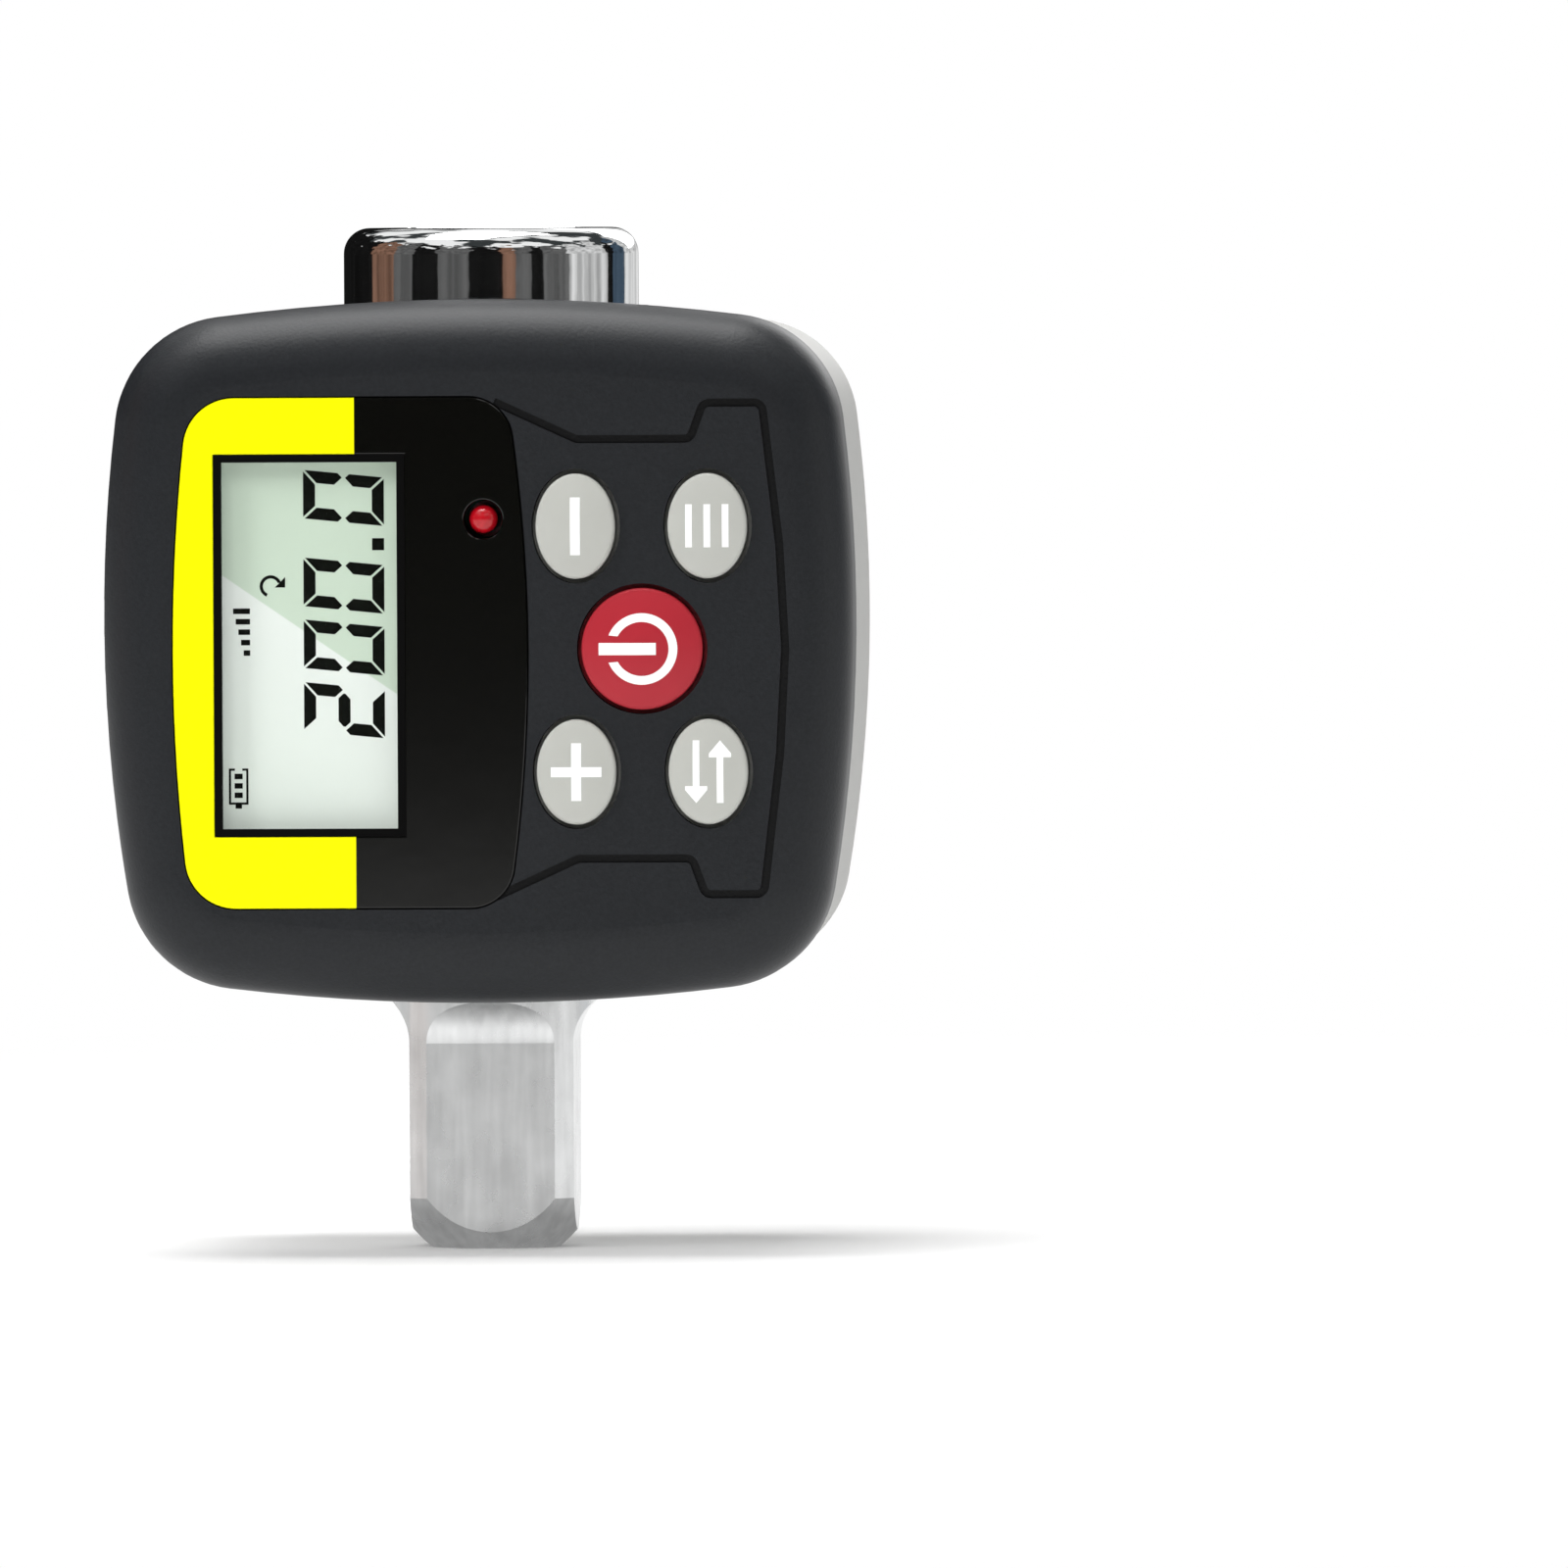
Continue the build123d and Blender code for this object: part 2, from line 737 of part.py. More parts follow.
def contact_plate(side, low, high, dimple_rise=None, tab_rise=None):
    """A sheet contact at one end of the cells, with a pressed dimple and a solder tab if named."""
    inner = pocket_half_x - contact_thickness
    sheet = Rectangle(contact_thickness, high - low)
    plate_x = side * (inner + contact_thickness / 2)
    rear = cell_floor_y + cell_dia - ledge_thickness
    plate = slab(Pos(plate_x, (low + high) / 2) * sheet, rear, cell_floor_y)
    if dimple_rise is not None:
        height = inner - cell_length / 2 - cell_clearance
        dimple = Cone(contact_dimple_dia / 2, contact_dimple_dia / 3, height)
        turned = Rot(0, -90 * side, 0) * dimple
        plate += Pos(side * (inner - height / 2), cell_y, case_mid + dimple_rise) * turned
    if tab_rise is not None:
        tab = Rectangle(contact_thickness, tab_width)
        plate += slab(Pos(plate_x, tab_rise) * tab, cell_floor_y, cell_floor_y - tab_reach)
    return plate


def contact_bridge():
    """The left-hand contact, which joins the two cells."""
    reach = cell_rise + contact_width / 2
    return contact_plate(-1, -reach, reach, dimple_rise=-cell_rise)


def contact_positive():
    """The right-hand contact at the upper cell's nub."""
    low, high = cell_rise - contact_width / 2, cell_rise + contact_width / 2
    return contact_plate(1, low, high, dimple_rise=cell_rise, tab_rise=cell_rise)


def contact_negative():
    """The right-hand contact behind the lower cell's spring."""
    low, high = -cell_rise - contact_width / 2, contact_width / 2 - cell_rise
    return contact_plate(1, low, high, tab_rise=-cell_rise)


def battery_springs():
    """The two coils that push on the cells' flat ends."""
    inner = pocket_half_x - contact_thickness
    room = inner - cell_length / 2
    height = room - spring_wire - 2 * cell_clearance
    coil = coil_spring(height, spring_dia / 2, spring_wire, spring_turns)
    start = cell_length / 2 + cell_clearance + spring_wire / 2
    right = Pos(start, cell_y, case_mid - cell_rise) * Rot(0, 90, 0) * coil
    left = Pos(-start, cell_y, case_mid + cell_rise) * Rot(0, -90, 0) * coil
    return [left, right]


def battery_leads():
    """Two insulated wires from the contacts' tabs to the board."""
    x = pocket_half_x - contact_thickness / 2
    start_y = cell_floor_y - tab_reach
    bend_y = start_y - wire_lead_in
    settle_y = bend_y / 2
    wires = []
    for sign in (-1, 1):
        path = FilletPolyline(
            (x, start_y),
            (x, bend_y),
            (x - wire_shift, settle_y),
            (x - wire_shift, board_rear_y),
            radius=wire_bend,
        )
        path = Pos(0, 0, case_mid + sign * cell_rise) * path
        section = Plane(origin=path @ 0, z_dir=path % 0) * Circle(wire_dia / 2)
        wires.append(sweep(section, path))
    return wires


def front_cover():
    """The front shell: face plate recess, window, button holes, groove and the posts inside."""
    body = slab(outline(), joint_y, front_y)
    body = fillet(body.faces().sort_by(Axis.Y)[0].edges(), front_round)
    inner = slab(outline(wall), joint_y, inner_front_y)
    inner = fillet(inner.faces().sort_by(Axis.Y)[0].edges(), front_round - wall)
    cover = body - inner
    for x, z in screw_places:
        cover += rod(screw_dia / 2 + post_wall, joint_y, inner_front_y, x, z) & body
        cover -= rod(screw_dia / 2 + running_clearance, joint_y + overrun, inner_front_y, x, z)
    for x, z in board_screw_places:
        cover += rod(board_screw_dia / 2 + board_post_wall, board_front_y, inner_front_y, x, z)
        cover -= rod(board_screw_dia / 2 + running_clearance, board_front_y + overrun, inner_front_y, x, z)
    cover -= slab(lens_outline(), lens_rear_y, front_y - overrun)
    cover -= slab(window_shape(window_ledge), inner_front_y + overrun, front_y - overrun)
    cover -= rod(led_hole_dia / 2, inner_front_y + overrun, front_y - overrun, led_x, led_rise)
    for name in buttons:
        cover -= slab(button_shape(name, button_gap), inner_front_y + overrun, front_y - overrun)
    return cover - slab(keypad_groove(), front_y + groove_depth, front_y - overrun)


def display_bezel():
    """The glossy face plate round the window."""
    plate = lens_outline(lens_clearance) - window_shape(frame_rim)
    plate -= Pos(led_x, led_rise) * Circle(led_hole_dia / 2)
    return slab(plate, lens_rear_y, front_y)


def window_frame():
    """The thin black frame between face plate and pane."""
    return slab(window_shape(frame_rim) - window_shape(0), lens_rear_y, front_y)


def display_window():
    """The clear pane."""
    return slab(window_shape(0), lens_rear_y, front_y + stack_clearance)


def lcd_glass():
    """The liquid crystal cell."""
    shape = Pos(window_x, window_rise) * Rectangle(glass_width, glass_height)
    return slab(shape, glass_rear_y, glass_front_y)


def lcd_holder():
    """The frame that holds the cell on the board, notched round the cover's posts."""
    place = Pos(window_x, window_rise)
    play = running_clearance
    outer = place * Rectangle(
        glass_width + 2 * (holder_wall + play), glass_height + 2 * (holder_wall + play)
    )
    for x, z in screw_places:
        outer -= Pos(x, z) * Circle(screw_dia / 2 + post_wall + stack_clearance)
    seat = place * Rectangle(glass_width + 2 * play, glass_height + 2 * play)
    well = place * Rectangle(glass_width - 2 * holder_ledge, glass_height + 2 * play)
    holder = slab(outer, board_front_y, glass_front_y)
    holder -= slab(seat, glass_rear_y, glass_front_y - overrun)
    return holder - slab(well, board_front_y + overrun, glass_rear_y - overrun)


def contact_strips():
    """The two rubber strips that join the cell's edges to the board."""
    rise = (glass_height - strip_width) / 2
    strip = Rectangle(glass_width - 2 * holder_ledge - 2 * stack_clearance, strip_width)
    ends = [window_rise - rise, window_rise + rise]
    return [slab(Pos(window_x, z) * strip, board_front_y, glass_rear_y) for z in ends]


def circuit_board():
    """The board, notched at its corners for the case's posts."""
    board = outline(wall + board_inset)
    notch = screw_edge_x + screw_dia / 2 + post_wall + post_gap
    tall = screw_edge_z + screw_dia / 2 + post_wall + post_gap
    for sx in (-1, 1):
        for sz in (-1, 1):
            place = Pos(sx * (half_width - notch / 2), sz * (half_height - tall / 2))
            board -= place * Rectangle(notch, tall)
    for x, z in board_screw_places:
        board -= Pos(x, z) * Circle(board_screw_dia / 2 + screw_clearance)
    return slab(board, board_rear_y, board_front_y)


def board_chips():
    """The parts on the board's rear: processor, amplifier, lead socket, memory and capacitors."""
    plug_rise = gauge_z - lead_drop - case_mid
    plug = Rectangle(lead_width + 2 * plug_rim, lead_thickness + 2 * plug_rim)
    chips = [
        (Pos(chip_x, 0) * Rectangle(chip_side, chip_side), chip_height),
        (Pos(chip_x, chip_side) * Rectangle(chip_side / 2, chip_side / 2), chip_height),
        (Pos(0, plug_rise) * plug, plug_height),
        (Pos(chip_x + chip_side, 0) * Rectangle(chip_side / 2, chip_side / 3), chip_height),
    ]
    capacitor = Rectangle(capacitor_width, capacitor_length)
    for step in range(capacitor_count):
        x = chip_x + (step - capacitor_count / 2 + 0.5) * capacitor_pitch
        chips.append((Pos(x, -chip_side) * capacitor, chip_height / 2))
    return [slab(shape, board_rear_y + height, board_rear_y) for shape, height in chips]


def alarm_led():
    """The round-topped lamp beside the display."""
    top_y = front_y - led_proud
    r = led_dia / 2
    lamp = rod(r, board_front_y, top_y + r, led_x, led_rise)
    lamp += Pos(led_x, top_y + r, case_mid + led_rise) * Sphere(r)
    flange_y = board_front_y - led_flange_height
    return lamp + rod(led_flange_dia / 2, board_front_y, flange_y, led_x, led_rise)


def buzzer():
    """The sounder on the board's rear."""
    rear = board_rear_y + buzzer_height
    can = rod(buzzer_dia / 2, rear, board_rear_y, buzzer_x, 0)
    return can - rod(buzzer_hole_dia / 2, rear + overrun, rear - buzzer_hole_depth, buzzer_x, 0)


def keypad_membrane():
    """The rubber sheet on the board, with one pill under each button."""
    left = button_near_x - membrane_border + stack_clearance
    right = button_far_x + membrane_border - button_flange_rim - stack_clearance * 2
    tall = 2 * (button_spread + membrane_border)
    place = Pos((left + right) / 2, keypad_rise)
    sheet = place * Rectangle(right - left, tall)
    face_y = board_front_y - membrane_thickness
    membrane = slab(sheet, board_front_y, face_y)
    pill_y = inner_front_y + button_seat_gap + button_flange + button_travel + press_clearance
    for x, z in buttons.values():
        membrane += rod(pill_dia / 2, face_y, pill_y, x, z)
    return membrane


def button(name):
    """A domed cap that slides in its hole, with a flange behind the cover."""
    x, z = buttons[name]
    flange_y = inner_front_y + button_seat_gap
    top_y = front_y - button_proud
    cap = slab(button_shape(name, 0), flange_y, top_y)
    cap &= Pos(x, top_y + button_dome, case_mid + z) * Sphere(button_dome)
    rim = cap.faces().sort_by(Axis.Y)[0].edges()
    cap = fillet(rim, button_edge)
    return cap + slab(button_shape(name, button_flange_rim), flange_y + button_flange, flange_y)


def cross_recess(arm, y_rear, y_front, x, z):
    """The cross that a driver bit enters, open towards the rear."""
    shape = Rectangle(cross_length, arm) + Rectangle(arm, cross_length)
    return slab(Pos(x, z) * shape, y_rear, y_front)


def case_screws():
    """Four screws from the rear into the cover's posts."""
    screws = []
    for x, z in screw_places:
        head_top = screw_seat_y + screw_head_height
        screw = rod(screw_head_dia / 2, head_top, screw_seat_y, x, z)
        screw += rod(screw_dia / 2, screw_seat_y, screw_seat_y - screw_length, x, z)
        screws.append(screw - cross_recess(cross_arm, head_top + overrun, head_top - cross_depth, x, z))
    return screws


def board_screws():
    """Three small screws that hold the board on the cover's posts."""
    screws = []
    for x, z in board_screw_places:
        head_y = board_rear_y + board_screw_head_height
        screw = rod(board_screw_head_dia / 2, head_y, board_rear_y, x, z)
        screw += rod(board_screw_dia / 2, board_rear_y, board_rear_y - board_screw_length, x, z)
        screws.append(screw)
    return screws


pieces = {
    "torque_shaft": torque_shaft(),
    "upper_bush": upper_bush(),
    "lower_bush": lower_bush(),
    "retaining_clip": retaining_clip(),
    "shaft_set_screw": shaft_set_screw(),
    "strain_gauges": strain_gauges(),
    "sensor_lead": sensor_lead(),
    "detent_ball": detent_ball(),
    "detent_spring": detent_spring(),
    "front_cover": front_cover(),
    "rear_case": rear_case(),
    "case_seal": case_seal(),
    "display_bezel": display_bezel(),
    "window_frame": window_frame(),
    "display_window": display_window(),
    "lcd_glass": lcd_glass(),
    "lcd_holder": lcd_holder(),
    "contact_strips": contact_strips(),
    "circuit_board": circuit_board(),
    "board_chips": board_chips(),
    "board_screws": board_screws(),
    "alarm_led": alarm_led(),
    "buzzer": buzzer(),
    "keypad_membrane": keypad_membrane(),
    "battery_door": battery_door(),
    "battery_upper": cell(cell_rise, 1),
    "battery_lower": cell(-cell_rise, -1),
    "contact_bridge": contact_bridge(),
    "contact_positive": contact_positive(),
    "contact_negative": contact_negative(),
    "battery_springs": battery_springs(),
    "battery_leads": battery_leads(),
    "case_screws": case_screws(),
}
for button_name in buttons:
    pieces[button_name] = button(button_name)

os.makedirs("parts", exist_ok=True)
for node, shape in pieces.items():
    solids = shape if isinstance(shape, list) else [shape]
    export_step(Compound(children=[s for part in solids for s in part.solids()]), f"parts/{node}.step")
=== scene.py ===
import json
import math

import bpy
from bpy.props import FloatProperty, FloatVectorProperty, PointerProperty
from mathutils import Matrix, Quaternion, Vector

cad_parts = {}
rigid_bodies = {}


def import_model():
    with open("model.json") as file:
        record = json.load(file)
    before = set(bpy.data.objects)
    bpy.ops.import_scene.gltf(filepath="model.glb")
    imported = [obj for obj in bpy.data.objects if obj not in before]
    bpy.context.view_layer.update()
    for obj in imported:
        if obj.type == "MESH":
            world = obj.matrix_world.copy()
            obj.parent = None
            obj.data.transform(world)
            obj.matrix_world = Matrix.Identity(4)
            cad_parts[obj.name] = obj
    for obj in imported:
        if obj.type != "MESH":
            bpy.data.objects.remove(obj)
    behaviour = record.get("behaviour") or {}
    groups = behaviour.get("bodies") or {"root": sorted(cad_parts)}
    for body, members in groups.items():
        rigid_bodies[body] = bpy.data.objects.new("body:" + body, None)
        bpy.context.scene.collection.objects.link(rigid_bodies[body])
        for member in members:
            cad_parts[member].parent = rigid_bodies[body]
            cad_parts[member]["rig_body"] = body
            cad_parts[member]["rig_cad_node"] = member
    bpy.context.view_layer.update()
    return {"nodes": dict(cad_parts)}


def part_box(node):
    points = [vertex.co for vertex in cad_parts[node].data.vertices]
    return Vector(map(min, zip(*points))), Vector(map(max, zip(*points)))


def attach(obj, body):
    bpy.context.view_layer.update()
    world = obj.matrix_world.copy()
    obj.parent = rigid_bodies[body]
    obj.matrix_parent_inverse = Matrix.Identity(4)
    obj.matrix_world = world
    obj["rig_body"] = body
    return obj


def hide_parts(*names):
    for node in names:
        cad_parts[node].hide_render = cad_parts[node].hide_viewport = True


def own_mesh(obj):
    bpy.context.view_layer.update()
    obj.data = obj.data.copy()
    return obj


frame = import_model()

# Finishes, display, button symbols and studio for the digital torque adapter. Metres, +Z up the
# drive axis, the display faces -Y, in the frame of the packed model.

bl_info = {
    "name": "Digital torque adapter",
    "version": (1, 0, 0),
    "blender": (4, 5, 0),
    "location": "3D View > Sidebar > Torque adapter",
    "description": "Finishes, display, button symbols and studio of a digital torque adapter",
    "category": "Object",
}

MM = 0.001
NODES = frame["nodes"]

# Places that the pieces made here take from the packed model
GLASS_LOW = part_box("lcd_glass")[0]
COVER_LOW, COVER_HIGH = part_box("front_cover")
CASE_MID_Z = (COVER_LOW.z + COVER_HIGH.z) / 2
# How far ink stands off what it is printed on
PRINT_LIFT = 0.02 * MM


def linear(colour):
    """An sRGB hex colour as the linear values that shaders take."""
    channels = [int(colour[at : at + 2], 16) / 255 for at in (1, 3, 5)]
    return tuple(c / 12.92 if c <= 0.04045 else ((c + 0.055) / 1.055) ** 2.4 for c in channels)


def colour_setting(name, description, colour):
    """A colour that the sidebar shows."""
    return FloatVectorProperty(
        name=name,
        description=description,
        default=linear(colour),
        size=3,
        min=0,
        max=1,
        subtype="COLOR",
    )


def length_setting(name, description, millimetres):
    """A length that the sidebar shows."""
    default = millimetres * MM
    return FloatProperty(
        name=name, description=description, default=default, min=0, precision=5, unit="LENGTH"
    )


def angle_setting(name, description, degrees):
    """An angle that the sidebar shows."""
    default = math.radians(degrees)
    return FloatProperty(name=name, description=description, default=default, subtype="ANGLE")


class FinishSettings(bpy.types.PropertyGroup):
    """Colours of the surfaces."""

    cover: colour_setting("Cover", "Charcoal ABS of the front shell", "#1F2124")
    case: colour_setting("Case", "Grey ABS of the rear shell and the door", "#B9B9B6")
    plate: colour_setting("Plate", "Black print behind the face plate", "#0A0A08")
    border: colour_setting("Border", "Yellow print on the face plate's left part", "#FFFF00")
    key: colour_setting("Key", "Pale ABS of the four oval buttons", "#BBBCB6")
    power: colour_setting("Power key", "Red ABS of the round button", "#B02834")
    symbol: colour_setting("Symbol", "White ink of the button symbols", "#FFFFFF")
    lamp: colour_setting("Lamp", "Red epoxy of the alarm lamp", "#B80D1C")
    film_green: colour_setting("Film, green", "Display film above the diagonal", "#C3D4C2")
    # The pale film colour is the film with the pane's reflection painted on, below the diagonal
    film_with_painted_reflection: colour_setting("Film, pale", "Display film below the diagonal", "#E0E7E1")
    ink: colour_setting("Display ink", "Dark segments of the display", "#0C0F0A")
    chrome: colour_setting("Chrome", "Chromium plate on the shaft", "#E9EAEA")


class DisplaySettings(bpy.types.PropertyGroup):
    """Sizes of what the display shows. It reads upwards, with the digits' tops to the left."""

    digit_height: length_setting("Digit height", "From a digit's foot to its top", 6.2)
    digit_width: length_setting("Digit width", "Across a digit", 3.72)
    stroke: length_setting("Stroke", "Width of a segment", 0.92)
    gap: length_setting("Gap", "Clear line between segments", 0.2)
    slant: angle_setting("Slant", "Lean of the digits towards the reading direction", 5.6)


class SymbolSettings(bpy.types.PropertyGroup):
    """Sizes of the symbols on the buttons."""

    minus_length: length_setting("Minus length", "Long side of the minus", 4.42)
    plus_width: length_setting("Plus width", "Across the plus", 3.88)
    stroke: length_setting("Stroke", "Width of minus and plus", 0.76)
    ring_radius: length_setting("Ring radius", "Outer radius of the power symbol", 2.74)
    ring_stroke: length_setting("Ring stroke", "Width of the power symbol's ring", 0.67)
    fine_stroke: length_setting("Fine stroke", "Width of the list and arrow symbols", 0.52)


class StageSettings(bpy.types.PropertyGroup):
    """The camera's place."""

    distance: length_setting("Distance", "From the camera to the point that it looks at", 2000)
    frame_width: length_setting("Frame width", "Width that the picture shows at that point", 121.33)
    aim_x: length_setting("Aim to the right", "From the drive axis to the picture's middle", 22.49)
    aim_z: length_setting("Aim height", "Height of the picture's middle", 35.69)
    azimuth: angle_setting("Azimuth", "Turn of the camera to the right", 2.85)
    elevation: angle_setting("Elevation", "Rise of the camera", 1.4)
    roll: angle_setting("Roll", "Turn of the picture to the left", 0.28)


def feed(tree, socket, value):
    """Gives an input a fixed value or what another socket says."""
    if isinstance(value, bpy.types.NodeSocket):
        tree.links.new(value, socket)
    else:
        socket.default_value = value


def add_node(tree, kind, inputs=None, **settings):
    """Adds a shader node with its settings. An input takes a fixed value or a socket."""
    made = tree.nodes.new(kind)
    for name, value in settings.items():
        setattr(made, name, value)
    for name, value in (inputs or {}).items():
        feed(tree, made.inputs[name], value)
    return made


def new_finish(name, colour, roughness, metallic=0.0, **shine):
    """A material with one Principled shader. Returns it with its node tree and shader."""
    material = bpy.data.materials.new(name)
    material.use_nodes = True
    tree = material.node_tree
    shader = tree.nodes["Principled BSDF"]
    rgba = (*colour, 1)
    shader.inputs["Base Color"].default_value = rgba
    shader.inputs["Roughness"].default_value = roughness
    shader.inputs["Metallic"].default_value = metallic
    for socket, value in shine.items():
        shader.inputs[socket.replace("_", " ")].default_value = value
    material.diffuse_color = rgba
    return material, tree, shader


def object_place(tree):
    """The socket with a point's place in the frame, in metres."""
    return add_node(tree, "ShaderNodeTexCoord").outputs["Object"]


def axes_of(tree, vector):
    """The sockets with a vector's X, Y and Z."""
    return add_node(tree, "ShaderNodeSeparateXYZ", {"Vector": vector}).outputs


def noise(tree, place, scale, detail=2.0):
    """The socket with a smooth noise from 0 to 1."""
    inputs = {"Vector": place, "Scale": scale, "Detail": detail}
    return add_node(tree, "ShaderNodeTexNoise", inputs).outputs["Fac"]


# Range that holds nearly all values of a noise
NOISE_RANGE = (0.3, 0.7)


def mapped(tree, value, source, target=(0.0, 1.0), **settings):
    """The socket with a value carried over from one range to another, and held inside it."""
    inputs = {
        "Value": value,
        "From Min": source[0],
        "From Max": source[1],
        "To Min": target[0],
        "To Max": target[1],
    }
    return add_node(tree, "ShaderNodeMapRange", inputs, **settings).outputs["Result"]


def computed(tree, operation, *terms):
    """The socket with what a Math node makes of its terms."""
    return add_node(
        tree, "ShaderNodeMath", dict(enumerate(terms)), operation=operation
    ).outputs[0]


def colour_socket(sockets, name):
    """A Mix node holds one socket of each name for every data type: this is the colour one."""
    return next(s for s in sockets if s.name == name and s.type == "RGBA")


def mixed_colour(tree, share, first, second):
    """The socket with two colours mixed. Each colour is a fixed one or a socket."""
    mix = add_node(tree, "ShaderNodeMix", {"Factor": share}, data_type="RGBA")
    for name, colour in (("A", first), ("B", second)):
        fixed = not isinstance(colour, bpy.types.NodeSocket)
        feed(tree, colour_socket(mix.inputs, name), (*colour, 1) if fixed else colour)
    return colour_socket(mix.outputs, "Result")


def mixed_value(tree, share, first, second):
    """The socket with two numbers mixed. Each number is a fixed one or a socket."""
    inputs = {"Factor": share, 2: first, 3: second}
    return add_node(tree, "ShaderNodeMix", inputs, data_type="FLOAT").outputs[0]


def mixed_shader(tree, share, first, second):
    """The socket with two shaders mixed."""
    return add_node(tree, "ShaderNodeMixShader", {0: share, 1: first, 2: second}).outputs["Shader"]


def add_bump(tree, shader, height, strength, depth):
    """Relief on a finish. depth is in metres."""
    inputs = {"Height": height, "Strength": strength, "Distance": depth}
    bump = add_node(tree, "ShaderNodeBump", inputs)
    tree.links.new(bump.outputs["Normal"], shader.inputs["Normal"])


def add_mottle(tree, shader, colour, grain, share):
    """Varies the colour a little, as pigment and wear do. grain is in metres."""
    dark = tuple(c * (1 - share) for c in colour)
    light = tuple(min(1.0, c * (1 + share)) for c in colour)
    blotches = noise(tree, object_place(tree), 1 / grain, 3.0)
    tree.links.new(mixed_colour(tree, blotches, dark, light), shader.inputs["Base Color"])


def plain_finish(name, colour, roughness, metallic=0.0, mottle=None, relief=None, **shine):
    """A finish of one colour.

    mottle is the grain in millimetres and the share by which the colour varies. relief is the
    grain and the depth in millimetres, and the strength.
    """
    material, tree, shader = new_finish(name, colour, roughness, metallic, **shine)
    if mottle:
        add_mottle(tree, shader, colour, mottle[0] * MM, mottle[1])
    if relief:
        grain, depth, strength = relief
        height = noise(tree, object_place(tree), 1 / (grain * MM))
        add_bump(tree, shader, height, strength, depth * MM)
    return material


def give(node, material):
    """Puts a finish on a packed node."""
    slots = NODES[node].data.materials
    slots.clear()
    slots.append(material)


def deselect():
    bpy.ops.object.select_all(action="DESELECT")


def pick(piece):
    """Selects one object alone and makes it the active one."""
    deselect()
    piece.select_set(True)
    bpy.context.view_layer.objects.active = piece


def start_edit():
    """Opens the active mesh with all of it selected."""
    bpy.ops.object.mode_set(mode="EDIT")
    bpy.ops.mesh.select_all(action="SELECT")


def end_edit():
    bpy.ops.object.mode_set(mode="OBJECT")


def flat_bar(width, height, x, z, y):
    """A flat sheet that faces the front. Its object is left active, at the origin."""
    deselect()
    bpy.ops.mesh.primitive_plane_add(size=1, rotation=(math.pi / 2, 0, 0))
    bpy.ops.object.transform_apply(location=False, rotation=True, scale=False)
    start_edit()
    bpy.ops.transform.resize(value=(width, 1, height), center_override=(0, 0, 0))
    bpy.ops.transform.translate(value=(x, y, z))
    end_edit()
    return bpy.context.active_object


def cut(piece, place, direction):
    """Takes away what lies beyond a plane."""
    pick(piece)
    start_edit()
    bpy.ops.mesh.bisect(plane_co=place, plane_no=direction, clear_outer=True)
    end_edit()


def copy_of(piece, name):
    """A copy with a mesh of its own."""
    made = piece.copy()
    made.data = piece.data.copy()
    made.name = name
    bpy.context.scene.collection.objects.link(made)
    return made


def joined(pieces, name):
    """One object out of several."""
    deselect()
    for piece in pieces:
        piece.select_set(True)
    bpy.context.view_layer.objects.active = pieces[0]
    if len(pieces) > 1:
        bpy.ops.object.join()
    made = bpy.context.active_object
    made.name = name
    made.data.name = name
    return made


def apply_modifier(piece, kind, **settings):
    """Adds a modifier and applies it."""
    pick(piece)
    modifier = piece.modifiers.new(kind.title(), kind)
    for name, value in settings.items():
        setattr(modifier, name, value)
    bpy.ops.object.modifier_apply(modifier=modifier.name)


def finished(piece, material, body):
    """Gives a made piece its finish, its body and its material slot."""
    if material is not None:
        piece.data.materials.clear()
        piece.data.materials.append(material)
    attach(piece, body)
    return piece


# Shares of the gap and of half a stroke by which the ends of the strokes are cut back, and how
# much shorter the middle stroke is than the digit is wide, in strokes
MITRE_SHARE, POINT_SHARE, MIDDLE_SHORTER = 0.6, 0.7, 1.3


def digit_strokes(width, height, stroke, gap):
    """The seven strokes of an upright digit with its foot at the origin, by their usual letters."""
    middle = height / 2
    half = stroke / 2
    mitre = gap * MITRE_SHARE
    strokes = {}

    def lying(name, z_outer, outwards):
        bar = flat_bar(width, stroke, width / 2, z_outer - outwards * half, 0)
        cut(bar, (mitre, 0, z_outer), (-1, 0, -outwards))
        cut(bar, (width - mitre, 0, z_outer), (1, 0, -outwards))
        strokes[name] = bar

    def standing(name, x_outer, outwards, z_end, up):
        length = height / 2
        bar = flat_bar(stroke, length, x_outer - outwards * half, z_end - up * length / 2, 0)
        cut(bar, (x_outer, 0, z_end - up * mitre), (-outwards, 0, up))
        tip = (x_outer - outwards * half * POINT_SHARE, 0, middle + up * gap * MITRE_SHARE)
        cut(bar, tip, (outwards, 0, -up))
        cut(bar, tip, (-outwards, 0, -up))
        strokes[name] = bar

    lying("a", height, 1)
    lying("d", 0, -1)
    standing("b", width, 1, height, 1)
    standing("c", width, 1, 0, -1)
    standing("f", 0, -1, height, 1)
    standing("e", 0, -1, 0, -1)
    bar = flat_bar(width - stroke * MIDDLE_SHORTER, stroke, width / 2, middle, 0)
    for side in (-1, 1):
        tip = (width / 2 + side * (width / 2 - half * POINT_SHARE - gap), 0, middle)
        for up in (-1, 1):
            cut(bar, tip, (side, 0, up))
    strokes["g"] = bar
    return strokes


def laid_on_display(piece, foot_x, start_z, slant):
    """Turns upright writing to read upwards, leans it, and lays it on the display's front."""
    lean = math.tan(slant)
    for vertex in piece.data.vertices:
        along, up = vertex.co.x + lean * vertex.co.z, vertex.co.z
        vertex.co = Vector((foot_x - up, GLASS_LOW.y - PRINT_LIFT, start_z + along))
    piece.data.update()
    return piece


